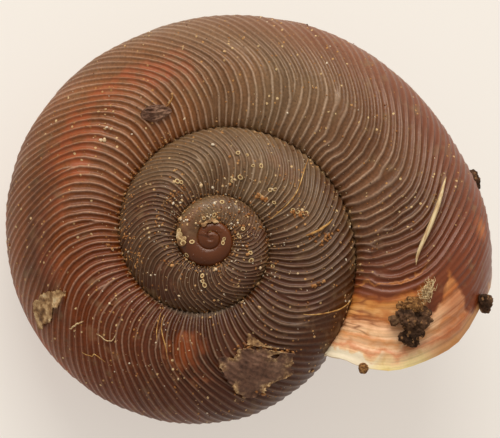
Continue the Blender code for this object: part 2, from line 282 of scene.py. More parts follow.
def ribs(growth, station):
    """How high each place stands on its rib, the rib's phase, and how strong ribs are there."""
    wander = (0.40 * hills(growth * 9, station * 1.1, 1) + 0.14 * hills(growth * 32, station * 2.4, 2)
              + 0.06 * hills(growth * 90, station * 6, 3))
    near_lip = ease(-0.34, -0.12, growth) * ease(2.1, 1.2, station)
    wander = wander + near_lip * (0.45 * hills(growth * 26, station * 4.2, 4)
                                  + 0.15 * hills(growth * 70, station * 8, 10))
    inside = RIBS_INSIDE * np.exp(INSIDE_CHANGE * growth)
    outside = RIBS_OUTSIDE * np.exp(OUTSIDE_CHANGE * growth)
    phase = (inside / INSIDE_CHANGE + outside / OUTSIDE_CHANGE) / 2 + forks(growth, station) + wander
    crest = (0.5 - 0.5 * np.cos(2 * math.pi * phase)) ** 1.8
    own_height = 1 + 0.30 * hills(growth * 75, station * 1.1, 5)
    in_turn = inside + (outside - inside) * ease(0.7, 1.5, station)
    apart = 2 * math.pi * 0.75 * radius_at(growth) / in_turn
    outer = ease(1.2, 1.6, station)
    fade = ease(*RIB_FADE[0], growth) * (1 - outer) + ease(*RIB_FADE[1], growth) * outer
    strength = ease(*RIB_START, growth) * (1 - fade)
    strength = strength * (1 - 0.5 * ease(2.1, 3, station))
    worn = between(RUBBED, growth) * ease(1.15, 1.5, station)
    dragged = between(BASE_WEAR, growth) * ease(2.2, 2.5, station)
    strength = strength * (0.45 + 0.55 * ease(0, 0.22, station))
    strength = strength * (1 - 0.7 * worn) * (1 - dragged) * (1 - ease(3.3, 3.9, station))
    return RIB_SHARE * apart * own_height * strength * crest, phase, strength

# %% Relief
# The outer side stands out a little from the even spiral, more in some places: (growth, mm)
SWELLING = ((-0.95, 0.08), (-0.86, 0.12), (-0.81, 0.24), (-0.75, 0.18), (-0.70, 0.08), (-0.52, 0.08),
            (-0.45, 0.20), (-0.40, 0.16), (-0.34, 0.05), (-0.25, 0.06), (-0.20, 0.18), (-0.10, 0.22),
            (-0.05, 0.36), (-0.02, 0.34), (0, 0.20))


def relief(growth, station):
    """All that stands up from the smooth shell: ribs, slow waves and, near the lip, growth steps."""
    swelling = smooth_through(SWELLING, growth) * MM * ease(1.0, 1.8, station) * ease(3.0, 2.2, station)
    waves = 0.045 * MM * hills(growth * 9, station * 1.6, 7) * ease(-2.4, -0.8, growth)
    fold_zone = ease(-0.09, -0.06, growth) * ease(2.6, 1.9, station)
    folds = 0.05 * MM * hills(growth * 150, station * 0.9, 8) + 0.03 * MM * hills(growth * 420, station, 9)
    return ribs(growth, station)[0] + waves + folds * fold_zone + swelling * ease(-1.0, -0.95, growth)


print("ribs stand up to", round(float(relief(np.linspace(-0.6, -0.5, 200), 1.0).max()) / MM, 2), "mm")

# %% [markdown]
# ## The shell's mesh
#
# No primitive and no modifier winds and widens at once, so the shell is made another way: four plain
# grids from `primitive_grid_add` are laid over the surface by the growth functions: the outside, the
# hollow, the tip and the floor of the umbilicus. Where a younger whorl covers an older one the faces are
# deleted, and merging by distance then welds each whorl to the one before it. The outside has six rings
# of corners to each rib, which is just enough to draw it round.

# %% Rings and columns of the mesh
RINGS_PER_TURN = 896
LEAN_RINGS = RINGS_PER_TURN * 10 // 112
RINGS_BACK = RINGS_PER_TURN - LEAN_RINGS
LIP_RING = round(-FIRST_TURN * RINGS_PER_TURN)
MOUTH_RING = LIP_RING - RINGS_BACK
UMBILICUS_RING = LIP_RING - round(1.75 * RINGS_PER_TURN)
STATIONS = np.concatenate([np.linspace(0, 1, 11)[:-1], np.linspace(1, SUTURE_STATION, 13)[:-1],
                           np.linspace(SUTURE_STATION, COLUMELLA_STATION, 15)[:-1],
                           np.linspace(COLUMELLA_STATION, 4, 5)])
SUTURE_COLUMN, COLUMELLA_COLUMN = 22, 36
LAST_COLUMN = len(STATIONS) - 1


def growth_of(ring):
    return FIRST_TURN + np.asarray(ring) / RINGS_PER_TURN


def laid_grid(name, places, growth, station, phase=0, strength=0, dropped=None):
    """A plain grid whose corners are laid on places, an array of (rings, columns, 3).

    growth, station, phase and strength go into two UV maps, which the finish reads. A UV map keeps a
    value for each corner of each face, so both sides of a weld keep their own. At a fork the phase jumps
    by a whole rib, and rounding takes that out of each face. Dropped faces are deleted.
    """
    rows, columns = places.shape[:2]
    bpy.ops.mesh.primitive_grid_add(x_subdivisions=columns - 1, y_subdivisions=rows - 1, size=1)
    piece = bpy.context.object
    piece.name = name
    mesh = piece.data
    mesh.vertices.foreach_set("co", places.reshape(-1))
    corner = np.empty(len(mesh.loops), dtype=np.int32)
    mesh.loops.foreach_get("vertex_index", corner)
    while mesh.uv_layers:
        mesh.uv_layers.remove(mesh.uv_layers[0])
    for title, pair in (("growth", (growth, station)), ("ribs", (phase, strength))):
        layer = mesh.uv_layers.new(name=title)
        values = np.stack([np.broadcast_to(v, (rows, columns)) for v in pair], axis=-1)
        values = values.reshape(-1, 2)[corner].reshape(-1, 4, 2)
        if title == "ribs":
            values[..., 0] -= np.round(values[..., 0] - values[:, :1, 0])
        layer.data.foreach_set("uv", values.astype(np.float32).reshape(-1))
    mesh.update()
    if dropped is not None:
        bpy.ops.object.mode_set(mode="EDIT")
        bpy.ops.mesh.select_mode(type="FACE")
        bpy.ops.mesh.select_all(action="DESELECT")
        bpy.ops.object.mode_set(mode="OBJECT")
        mesh.polygons.foreach_set("select", dropped.reshape(-1))
        bpy.ops.object.mode_set(mode="EDIT")
        bpy.ops.mesh.delete(type="FACE")
        bpy.ops.object.mode_set(mode="OBJECT")
    return piece

# %% The outside
ring_grid, column_grid = np.mgrid[0:LIP_RING + 1, 0:LAST_COLUMN + 1]
growth_grid, station_grid = growth_of(ring_grid), STATIONS[column_grid]
covered_columns = (column_grid > SUTURE_COLUMN) & (column_grid < COLUMELLA_COLUMN)
height = relief(growth_grid, station_grid)
height = height * np.where(covered_columns, ease(MOUTH_RING, MOUTH_RING + 14, ring_grid), 1)
outside = bare_surface(growth_grid, station_grid, height)
outside[..., 2] = np.maximum(outside[..., 2], 0)      # crests are worn flat where the shell rests
outside[RINGS_BACK:, 0] = outside[:-RINGS_BACK, SUTURE_COLUMN]
outside[UMBILICUS_RING + RINGS_BACK:, LAST_COLUMN] = outside[UMBILICUS_RING:-RINGS_BACK,
                                                             COLUMELLA_COLUMN]
face_ring, face_column = ring_grid[:-1, :-1], column_grid[:-1, :-1]
hidden = (face_ring < MOUTH_RING) & (face_column >= SUTURE_COLUMN) & (face_column < COLUMELLA_COLUMN)
hidden |= (face_ring < UMBILICUS_RING) & (face_column >= COLUMELLA_COLUMN)
_, phase_grid, strength_grid = ribs(growth_grid, station_grid)
outside_piece = laid_grid("outside", outside, growth_grid, station_grid, phase_grid, strength_grid, hidden)
print("outside:", len(outside_piece.data.polygons), "faces")

# %% [markdown]
# The hollow is the same surface again, one wall further in. The wall is thin as paper at the lip and
# thickens within a few millimetres. On the side of the axis the older whorl is the wall, so the rows of
# the hollow run round the new wall and then back over the old whorl. The first row is the lip itself.

# %% The hollow
WALL = 0.42 * MM
LIP_WALL = 0.13 * MM
INSIDE_MARK = 10             # added to the station of a place inside, so the finish can tell it
back_from_lip = np.concatenate([[0, 2, 5, 9, 14, 21, 30], np.arange(42, 1440, 12)])
hollow_rings = LIP_RING - back_from_lip
old_columns = np.arange(COLUMELLA_COLUMN - 1, SUTURE_COLUMN, -1)


def hollow_row(ring):
    """One row of the hollow: round the new wall, and back over the older whorl."""
    growth = growth_of(ring)
    wall = LIP_WALL + (WALL - LIP_WALL) * ease(0, -0.06, growth)
    inner = bare_surface(growth, STATIONS[1:-1], -wall)
    if ring == LIP_RING:
        old = outside[MOUTH_RING, old_columns]
    else:
        old = bare_surface(growth_of(ring - RINGS_BACK), STATIONS[old_columns])
    return np.concatenate([old[-1:], inner, old])


lip_row = np.concatenate([outside[LIP_RING], outside[MOUTH_RING, old_columns[1:]]])
hollow = np.stack([lip_row] + [hollow_row(ring) for ring in hollow_rings])
end = hollow[-1].mean(axis=0)
hollow = np.concatenate([hollow, np.broadcast_to(end, (1, *hollow.shape[1:]))])
hollow_growth = growth_of(np.concatenate([[LIP_RING], hollow_rings, hollow_rings[-1:]]))[:, None]
hollow_station = np.concatenate([STATIONS, STATIONS[old_columns[1:]]])[None, :] + INSIDE_MARK
no_lip_here = np.zeros((len(hollow) - 1, hollow.shape[1] - 1), dtype=bool)
no_lip_here[0, LAST_COLUMN:] = True
hollow_piece = laid_grid("hollow", hollow, hollow_growth, hollow_station, dropped=no_lip_here)
print("hollow:", len(hollow_piece.data.polygons), "faces")

# %% [markdown]
# The tip is a smooth little dome, the shell that the snail had when it hatched. Its edge is the start of
# the spiral, and a faint spiral groove runs on over it to the middle.

# %% The tip and the floor of the umbilicus
TIP_ROWS = 10
tip_edge = np.concatenate([outside[0, SUTURE_COLUMN:0:-1], outside[:RINGS_BACK + 1, 0]])
tip_middle = np.array(LYING @ Vector((0, 0, 0.02 * MM)))
axis_up = np.array(LYING.to_3x3() @ Vector((0, 0, 1)))
tip_rows = []
for share in np.linspace(0, 1, TIP_ROWS):
    row = tip_edge * (1 - share) + tip_middle * share
    flat = (row - np.array(APEX)) @ LYING_TURN
    angle, away = np.arctan2(flat[:, 1], flat[:, 0]), np.hypot(flat[:, 0], flat[:, 1])
    turn = -angle / (2 * math.pi) % 1
    groove = sum(np.exp(-((away - radius_at(-5.5 + k + turn)) / (0.045 * MM)) ** 2) for k in (0, 1))
    dome = 0.10 * MM * math.sin(math.pi * min(1, share * 1.15)) - 0.035 * MM * groove * min(1, share * 4)
    tip_rows.append(row + np.outer(dome * (share > 0) * (share < 1), axis_up))
tip_piece = laid_grid("tip", np.stack(tip_rows), np.linspace(-3.6, -4.4, TIP_ROWS)[:, None], 0.5)

pit_edge = np.concatenate([outside[UMBILICUS_RING, COLUMELLA_COLUMN:LAST_COLUMN],
                           outside[UMBILICUS_RING:UMBILICUS_RING + RINGS_BACK + 1, LAST_COLUMN]])
depth = ((pit_edge - np.array(APEX)) @ axis_up).min()
pit_rows = np.stack([pit_edge, np.broadcast_to(np.array(APEX) + axis_up * depth, pit_edge.shape)])
pit_piece = laid_grid("pit", pit_rows, -3.0, 3.9)
print("tip:", len(tip_piece.data.polygons), "faces; pit:", len(pit_piece.data.polygons), "faces")

# %% [markdown]
# The four grids are joined and welded. The weld needs the welded corners to be in exactly the same
# place, which they are, because the younger whorl's edge was copied from the older whorl.

# %% Joining the shell
for piece in (outside_piece, hollow_piece, tip_piece, pit_piece):
    piece.select_set(True)
bpy.context.view_layer.objects.active = outside_piece
bpy.ops.object.join()
shell = bpy.context.object
shell.name = "grown_shell"
bpy.ops.object.mode_set(mode="EDIT")
bpy.ops.mesh.select_all(action="SELECT")
bpy.ops.mesh.remove_doubles(threshold=0.001 * MM)
bpy.ops.mesh.normals_make_consistent(inside=False)
bpy.ops.mesh.select_mode(type="EDGE")
bpy.ops.mesh.select_all(action="DESELECT")
bpy.ops.mesh.select_non_manifold()
bpy.ops.object.mode_set(mode="OBJECT")
open_edges = sum(edge.select for edge in shell.data.edges)
bpy.ops.object.shade_smooth_by_angle(angle=math.radians(75))
while shell.modifiers:
    bpy.ops.object.modifier_apply(modifier=shell.modifiers[0].name)
shell.select_set(False)
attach(shell, "root")
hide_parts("shell")
print("shell:", len(shell.data.polygons), "faces,", open_edges, "open edges")

# %% [markdown]
# ## Helpers for finishes
#
# Colours are written as on a paint chart, in sRGB hex, and turned to the linear numbers that the shader
# works in. One small function adds a node, sets it and links it, so that a finish reads from top to
# bottom.

# %% Colour and node helpers


def linear(hex_colour):
    parts = [int(hex_colour[i:i + 2], 16) / 255 for i in (1, 3, 5)]
    return (*(p / 12.92 if p <= 0.04045 else ((p + 0.055) / 1.055) ** 2.4 for p in parts), 1)


def fill(node, inputs):
    """Gives inputs of a node their values, and links those that get an output."""
    for key, value in inputs.items():
        if isinstance(value, bpy.types.NodeSocket):
            node.id_data.links.new(value, node.inputs[key])
        else:
            node.inputs[key].default_value = value


def add_node(tree, kind, inputs=None, out=0, stops=(), **settings):
    """Adds a node and gives one of its outputs. Stops are the colours of a ramp."""
    node = tree.nodes.new("ShaderNode" + kind)
    for name, value in settings.items():
        setattr(node, name, value)
    fill(node, inputs or {})
    if stops:
        ramp = node.color_ramp.elements
        for end, (where, colour) in ((0, stops[0]), (1, stops[-1])):
            ramp[end].position, ramp[end].color = where, linear(colour)
        for where, colour in stops[1:-1]:
            ramp.new(where).color = linear(colour)
    return node.outputs[out]


def new_finish(name, **values):
    """A material, add_node for its tree, and its shader with the values that are the same all over."""
    finish = bpy.data.materials.new(name)
    finish.use_nodes = True
    shader = finish.node_tree.nodes["Principled BSDF"]
    fill(shader, {socket.replace("_", " "): value for socket, value in values.items()})
    return finish, partial(add_node, finish.node_tree), shader

# %% [markdown]
# ## The finish of the shell
#
# The shell is aragonite, a hard white lime, under a thin brown skin of horn-like protein, the
# periostracum. The skin has the gloss of varnish that has been outdoors for a while: a refractive index
# of about 1.5 and a roughness near 0.4. Its tone changes along the spiral, and the finish follows it
# with a colour ramp over `growth`: red where the skin is thin enough for the shell to show through,
# nearly black where it is thick. The same ramp also holds painted light. It is paler, greyer taupe where
# each whorl faces the window, which is partly rubbed skin and partly a painted sheen. It is darker where
# each whorl faces the lower edge, which is partly the skin's own darker brown and partly painted shade.
# The grooves are darker than the crests: partly painted shade in the grooves and a painted sheen on the
# crests, partly worn skin on the crests.

# %% Where a place is: growth, station, height on its rib, and noise of three sizes
skin, add, shader = new_finish("horny skin over aragonite", IOR=1.5, Specular_IOR_Level=0.38)
growth_map = add("UVMap", uv_map="growth")
growth, station, _ = add("SeparateXYZ", {0: growth_map}).node.outputs
phase, strength, _ = add("SeparateXYZ", {0: add("UVMap", uv_map="ribs")}).node.outputs
rise = add("Math", {0: phase, 1: 0.5}, operation="PINGPONG")
place = add("TexCoord", out=3)
patches = add("TexNoise", {"Vector": place, "Scale": 1000 / 3.2, "Detail": 4.0})      # hills of 3.2 mm
blotches = add("TexNoise", {"Vector": place, "Scale": 1000 / 0.8, "Detail": 4.0})
mottle = add("TexNoise", {"Vector": place, "Scale": 1000 / 0.14, "Detail": 3.0})


def away_from(spot, scale, ragged, noise=blotches):
    """How far a place is from a spot in growth and station, with noise to make its edge ragged."""
    away = add("VectorMath", {0: growth_map, 1: (*spot, 0)}, operation="SUBTRACT")
    away = add("Mapping", {0: away, "Scale": (*scale, 1)})
    away = add("VectorMath", {0: away}, out=1, operation="LENGTH")
    return add("Math", {0: noise, 1: ragged, 2: away}, operation="MULTIPLY_ADD")

# %% Growth lines: noise that is long across the whorl and short along it
to_lines = add("Mapping", {0: growth_map, "Scale": (560, 1.2, 1)})
lines = add("TexNoise", {"Vector": to_lines, "Scale": 1.0, "Detail": 4.0})
to_bands = add("Mapping", {0: growth_map, "Scale": (34, 0.7, 1)})
bands = add("TexNoise", {"Vector": to_bands, "Scale": 1.0, "Detail": 3.0})

# %% The brown skin
# The ramp is partly the skin's own tone and partly painted light: paler, greyer taupe where a whorl faces the
# window, and darker, as painted shade, where it faces the lower edge.
blurred = add("Math", {0: patches, 1: 0.16, 2: growth}, operation="MULTIPLY_ADD")
tone = add("ValToRGB", {0: add("MapRange", {0: blurred, 1: -2.64, 2: 0.08})}, stops=(
    (0.00, "#4a2a1a"), (0.09, "#70543e"), (0.14, "#857057"), (0.22, "#674832"), (0.32, "#5a3d2b"),
    (0.40, "#624430"), (0.50, "#846a51"), (0.555, "#876f57"), (0.60, "#604430"), (0.655, "#522e1b"),
    (0.70, "#552c19"), (0.75, "#7e4125"), (0.80, "#8c5a3e"), (0.85, "#946648"), (0.885, "#8c7259"),
    (0.93, "#805c45"), (0.965, "#5f3a27"), (1.00, "#64351f")))
# Darker grooves and paler, greyer crests: partly worn skin on the crests, partly painted shade in the grooves
# and a painted sheen on the crests.
groove = add("HueSaturation", {"Value": 0.74, "Saturation": 1.15, "Color": tone})
crest = add("HueSaturation", {"Value": 1.85, "Saturation": 0.80, "Color": tone})
crest = add("Mix", {0: 0.42, 6: crest, 7: linear("#a39078")}, out=2, data_type="RGBA")
wear_and_sheen_noise = add("TexNoise", {"Vector": to_bands, "Scale": 3.0, "Detail": 1.0})
wear_and_sheen = add("MapRange", {0: wear_and_sheen_noise, 1: 0.3, 2: 0.7, 3: 0.45, 4: 1.0})
less_contrast_outside = add("MapRange", {0: station, 1: 0.95, 2: 1.5, 3: 1.0, 4: 0.6})
height = add("MapRange", {0: rise, 1: 0.23, 2: 0.47}, interpolation_type="SMOOTHSTEP")
for share in (wear_and_sheen, strength, less_contrast_outside):
    height = add("Math", {0: height, 1: share}, operation="MULTIPLY")
brown = add("Mix", {0: height, 6: groove, 7: crest}, out=2, data_type="RGBA")
band_tone = add("MapRange", {0: bands, 1: 0.3, 2: 0.7, 3: 0.84, 4: 1.16})
speck_tone = add("MapRange", {0: mottle, 1: 0.3, 2: 0.7, 3: 0.78, 4: 1.24})
band_tone = add("Math", {0: band_tone, 1: speck_tone}, operation="MULTIPLY")
brown = add("HueSaturation", {"Value": band_tone, "Color": brown})

# %% Red patches, where the skin is thin, in a band along the left side
red_across = add("ValToRGB", {0: add("MapRange", {0: station, 1: 0.9, 2: 2.1})}, stops=(
    (0.0, "#404040"), (0.22, "#c8c8c8"), (0.34, "#c8c8c8"), (0.48, "#282828"), (0.74, "#282828"),
    (0.86, "#c0c0c0")))
red_along = add("ValToRGB", {0: add("MapRange", {0: growth, 1: -0.86, 2: -0.26})}, stops=(
    (0.0, "#606060"), (0.12, "#505050"), (0.30, "#a0a0a0"), (0.45, "#ffffff"), (0.75, "#e0e0e0"),
    (1.0, "#000000")))
red_here = add("Math", {0: red_across, 1: red_along}, operation="MULTIPLY")
red_noise = add("Math", {0: blotches, 1: 0.6, 2: patches}, operation="MULTIPLY_ADD")
red_noise = add("Math", {0: red_here, 1: 0.24, 2: red_noise}, operation="MULTIPLY_ADD")
in_band = add("MapRange", {0: red_here, 2: 0.3})
off_crest = add("MapRange", {0: height, 1: 0.9, 2: 0.2, 3: 0.12, 4: 0.68})
red = add("MapRange", {0: red_noise, 1: 0.82, 2: 1.10}, interpolation_type="SMOOTHSTEP")
for share in (in_band, off_crest):
    red = add("Math", {0: red, 1: share}, operation="MULTIPLY")
rusty = away_from((-0.825, 0.95), (28, 2.6), -3.0)
rusty = add("MapRange", {0: rusty, 1: -0.55, 2: -1.25, 3: 0.0, 4: 0.75})
rusty = add("Math", {0: rusty, 1: off_crest}, operation="MULTIPLY")

# %% Redder towards the lip, and on the outer side near it
side_red = add("MapRange", {0: station, 1: 1.15, 2: 1.6, 4: 0.6})
late = add("MapRange", {0: growth, 1: -0.42, 2: -0.12})
side_red = add("Math", {0: side_red, 1: late}, operation="MULTIPLY")
to_lip = add("MapRange", {0: growth, 1: -0.125, 2: -0.07, 4: 0.75})
to_lip = add("Math", {0: to_lip, 1: side_red}, operation="MAXIMUM")

# %% Dark and chestnut patches
chestnut_turns = add("ValToRGB", {0: add("MapRange", {0: growth, 1: -2.6, 2: -0.6})}, stops=(
    (0.10, "#000000"), (0.22, "#ffffff"), (0.62, "#ffffff"), (0.68, "#606060"), (0.78, "#ffffff"),
    (1.0, "#000000")))
chestnut = add("MapRange", {0: patches, 1: 0.48, 2: 0.62, 3: 0.0, 4: 0.55})
for share in (add("MapRange", {0: height, 3: 1.0, 4: 0.3}), chestnut_turns):
    chestnut = add("Math", {0: chestnut, 1: share}, operation="MULTIPLY")
dark = away_from((-0.575, 1.40), (11, 4.5), -2.2)
dark = add("MapRange", {0: dark, 1: 0.0, 2: -0.7, 3: 0.0, 4: 0.5})

# %% Dust: fine grains in the grooves and pale silt along the suture, and a painted highlight beside the suture
grain_away, grain_tint = add("TexVoronoi", {"Vector": place, "Scale": 1000 / 0.21}).node.outputs[:2]
grain_tint, grain_kind, _ = add("SeparateColor", {0: grain_tint}).node.outputs
on_old = add("MapRange", {0: growth, 1: -0.90, 2: -0.97})
under_new = add("MapRange", {0: station, 1: 1.55, 2: 1.80, 3: 0.0, 4: 0.9})
under_new = add("Math", {0: under_new, 1: on_old}, operation="MULTIPLY")
in_suture = add("MapRange", {0: station, 1: 0.0, 2: 0.30, 3: 1.0, 4: 0.04})
in_suture = add("Math", {0: in_suture, 1: under_new}, operation="MAXIMUM")
dusty = add("Math", {0: in_suture, 1: 0.23, 2: blotches}, operation="MULTIPLY_ADD")
has_grain = add("MapRange", {0: dusty, 1: 0.48, 2: 0.80, 3: 0.96, 4: 0.35})
has_grain = add("Math", {0: grain_tint, 1: has_grain}, operation="GREATER_THAN")
grain = add("Math", {0: grain_kind, 1: -0.16, 2: grain_away}, operation="MULTIPLY_ADD")
grain = add("MapRange", {0: grain, 1: 0.24, 2: 0.14})
for share in (has_grain, add("MapRange", {0: growth, 1: -0.07, 2: -0.10})):
    grain = add("Math", {0: grain, 1: share}, operation="MULTIPLY")
grain_colour = add("ValToRGB", {0: grain_kind}, stops=(
    (0.0, "#5f3c24"), (0.35, "#a06c3a"), (0.7, "#c09058"), (1.0, "#e0c696")))
silt = add("MapRange", {0: dusty, 1: 0.58, 2: 0.78, 3: 0.0, 4: 0.6})
# A grey patch on the shoulder just outside the suture, on the side that faces the lower edge: a painted
# highlight.
painted_suture_highlight = away_from((-0.85, 0.12), (9, 3.6), -0.9, mottle)
painted_suture_highlight = add("MapRange", {0: painted_suture_highlight, 1: 0.55, 2: 0.0, 3: 0.0, 4: 0.6})

# %% The layers of the skin, from the lowest up
layers = ((red, linear("#aa542c")), (rusty, linear("#a4501c")), (to_lip, linear("#823f20")),
          (chestnut, linear("#4e2616")), (dark, linear("#3f2a20")), (painted_suture_highlight, linear("#98897a")),
          (silt, linear("#8a7050")), (grain, grain_colour))
for amount, colour in layers:
    brown = add("Mix", {0: amount, 6: brown, 7: colour}, out=2, data_type="RGBA")
print(len(layers), "layers on the skin")

# %% [markdown]
# The last 5 mm of the shell have no skin yet, and there the fresh lime shows in bands of cream, peach,
# orange and pink, each one some days of growth. The skin's edge is ragged and runs up to the lip on the
# outer side, with one orange window in it.

# %% The bare shell at the lip
bend = add("Math", {0: blotches, 1: 0.024, 2: -0.012}, operation="MULTIPLY_ADD")
bent = add("Math", {0: growth, 1: bend}, operation="ADD")
lip_bands = add("ValToRGB", {0: add("MapRange", {0: bent, 1: -0.08, 2: 0.004})}, stops=(
    (0.00, "#8a4020"), (0.10, "#cc8048"), (0.17, "#a85c26"), (0.25, "#d08c46"), (0.33, "#e2a868"),
    (0.42, "#c87a3e"), (0.50, "#f6c294"), (0.60, "#facfa2"), (0.66, "#eba86e"), (0.72, "#f8cca0"),
    (0.78, "#e49c70"), (0.84, "#f6d2a2"), (0.91, "#f2dea4"), (1.00, "#e2ce80")))
orange = add("MapRange", {0: station, 1: 1.20, 2: 1.38, 4: 0.72}, interpolation_type="SMOOTHSTEP")
lip_bands = add("Mix", {0: orange, 6: lip_bands, 7: linear("#b06030")}, out=2, data_type="RGBA")
line_tone = add("MapRange", {0: lines, 1: 0.30, 2: 0.62, 3: 0.84, 4: 1.06})
bare = add("HueSaturation", {"Value": line_tone, "Color": lip_bands})

# %% Lines, stains, creases and scales on the bare shell
to_fine = add("Mapping", {0: growth_map, "Scale": (230, 0.9, 1)})
fine_line = add("TexNoise", {"Vector": to_fine, "Scale": 1.0, "Detail": 5.0, "Roughness": 0.65})
fine_line = add("MapRange", {0: fine_line, 1: 0.53, 2: 0.70, 3: 0.0, 4: 0.65})
stain = add("MapRange", {0: blotches, 1: 0.54, 2: 0.72, 3: 0.0, 4: 0.5})
to_crease = add("Mapping", {0: growth_map, "Rotation": (0, 0, 0.012), "Scale": (85, 0.8, 1)})
crease = add("TexNoise", {"Vector": to_crease, "Scale": 1.0, "Detail": 2.0})
crease = add("Math", {0: crease, 1: 0.5}, operation="SUBTRACT")
crease = add("Math", {0: crease}, operation="ABSOLUTE")
crease = add("MapRange", {0: crease, 1: 0.040, 2: 0.0, 4: 0.8})
near_suture = add("MapRange", {0: station, 1: 0.95, 2: 0.60})
off_edge = add("MapRange", {0: growth, 1: -0.018, 2: -0.034})
for share in (near_suture, off_edge):
    crease = add("Math", {0: crease, 1: share}, operation="MULTIPLY")
scales = add("Math", {0: bent, 1: 40.0, 2: blotches}, operation="MULTIPLY_ADD")
scales = add("MapRange", {0: scales, 1: 0.14, 2: 0.32, 3: 0.0, 4: 0.8})
on_crown = add("MapRange", {0: station, 1: 1.0, 2: 0.85})
scales = add("Math", {0: scales, 1: on_crown}, operation="MULTIPLY")
for amount, colour in ((fine_line, "#b45820"), (stain, "#c47c3a"), (crease, "#83431c"), (scales, "#f3ecd6")):
    bare = add("Mix", {0: amount, 6: bare, 7: linear(colour)}, out=2, data_type="RGBA")

# %% Where the skin ends
edge = add("MapRange", {0: station, 1: 1.24, 2: 1.62, 3: 0.068, 4: 0.004}, interpolation_type="SMOOTHSTEP")
beyond = add("Math", {0: bent, 1: edge}, operation="ADD")
no_skin = add("MapRange", {0: beyond, 1: -0.003, 2: 0.003})
window_at = tuple(map(float, bare_surface(-0.052, 1.68)[0]))
from_window = add("VectorMath", {0: place, 1: window_at}, out=1, operation="DISTANCE")
from_window = add("Math", {0: from_window, 1: 500.0}, operation="MULTIPLY")      # in shares of 2 mm
from_window = add("Math", {0: blotches, 1: 0.25, 2: from_window}, operation="MULTIPLY_ADD")
window = add("MapRange", {0: from_window, 1: 0.58, 2: 0.28, 3: 0.0, 4: 0.85})
no_skin = add("Math", {0: no_skin, 1: window}, operation="MAXIMUM")
left_over = away_from((-0.0568, 1.225), (47.5, 10.5), 1.1)
left_over = add("MapRange", {0: left_over, 1: 1.22, 2: 1.44})
no_skin = add("Math", {0: no_skin, 1: left_over}, operation="MULTIPLY")
gold = add("Math", {0: bent, 1: 0.080}, operation="ADD")
gold = add("Math", {0: gold}, operation="ABSOLUTE")
gold = add("MapRange", {0: gold, 1: 0.0018, 2: 0.0004, 3: 0.0, 4: 0.7})
gold = add("Math", {0: gold, 1: add("MapRange", {0: station, 1: 1.2, 2: 1.08})}, operation="MULTIPLY")

# %% The smooth tip, and the inside
is_young = add("MapRange", {0: growth, 1: -2.54, 2: -2.68})
tip_tone = add("Mix", {0: patches, 6: linear("#3a1708"), 7: linear("#77411c")}, out=2, data_type="RGBA")
inner_tone = add("ValToRGB", {0: add("MapRange", {0: growth, 1: -0.5, 2: 0})}, stops=(
    (0.0, "#7d5a4c"), (0.7, "#b98a70"), (0.93, "#d9b08c"), (1.0, "#e6cda6")))
is_inside = add("Math", {0: station, 1: INSIDE_MARK / 2}, operation="GREATER_THAN")
shell_colour = brown
for amount, colour in ((no_skin, bare), (gold, linear("#c07c3c")), (is_young, tip_tone),
                       (is_inside, inner_tone)):
    shell_colour = add("Mix", {0: amount, 6: shell_colour, 7: colour}, out=2, data_type="RGBA")

# %% Gloss and fine relief of the shell
gloss = add("MapRange", {0: blotches, 1: 0.3, 2: 0.7, 3: 0.28, 4: 0.46})
gloss = add("Mix", {0: grain, 2: gloss, 3: 0.8})
gloss = add("Mix", {0: is_young, 2: gloss, 3: 0.2})
sharp = add("Math", {0: rise, 1: strength}, operation="MULTIPLY")
sharp = add("MapRange", {0: sharp, 1: 0.24, 2: 0.5}, interpolation_type="SMOOTHSTEP")
raised = add("Math", {0: lines, 1: 0.5, 2: mottle}, operation="MULTIPLY_ADD")
raised = add("Math", {0: raised, 1: 0.35, 2: sharp}, operation="MULTIPLY_ADD")
raised = add("Math", {0: grain, 1: 0.6, 2: raised}, operation="MULTIPLY_ADD")
bump = add("Bump", {"Height": raised, "Strength": 1.0, "Distance": 0.03 * MM})
fill(shader, {"Base Color": shell_colour, "Roughness": gloss, "Normal": bump})
shell.data.materials.clear()
shell.data.materials.append(skin)
print(len(skin.node_tree.nodes), "nodes in the shell's finish")

# %% [markdown]
# ## Litter
#
# The shell lay on a forest floor, and bits of it stick to it: a clod of soil, a scrap of rotted leaf, a
# stalk, a seed husk, fibres, crusts and grains of sand. Each bit sits where the growth functions put
# it: `seat` gives a matrix with X along the growth, Y across the whorl and Z straight out of the
# shell, so a bit is modelled flat, in millimetres, and then set down with that matrix.

# %% Seats on the shell


def on_surface(growth, station, out=0.0):
    """Places on the ribbed shell, or `out` above it."""
    growth, station = np.atleast_1d(growth, station)
    return bare_surface(growth, station, relief(growth, station) + out)


def seat(growth, station, out=0.0, heading=0.0):
    here, ahead, beside = bare_surface([growth, growth + 0.002, growth], [station, station, station + 0.02])
    along, across = Vector(ahead - here).normalized(), Vector(beside - here).normalized()
    away = along.cross(across).normalized()
    turned = Matrix((along, away.cross(along), away)).transposed().to_4x4()
    place = Vector(on_surface(growth, station, out)[0])
    return Matrix.Translation(place) @ turned @ Matrix.Rotation(heading, 4, "Z") @ Matrix.Scale(MM, 4)


def keep_piece(piece, name, slot, finish, *replaced):
    piece.name = name
    piece.data.materials.clear()
    piece.data.materials.append(finish)
    piece.select_set(False)
    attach(piece, "root")
    if replaced:
        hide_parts(*replaced)
    print(name, len(piece.data.polygons), "faces")

# %% [markdown]
# Soil is grains of quartz and humus that cling together. What the eye sees is a nearly black body with
# tan and rusty grains in it, quite matt. Its finish is noise of three sizes on Object coordinates.

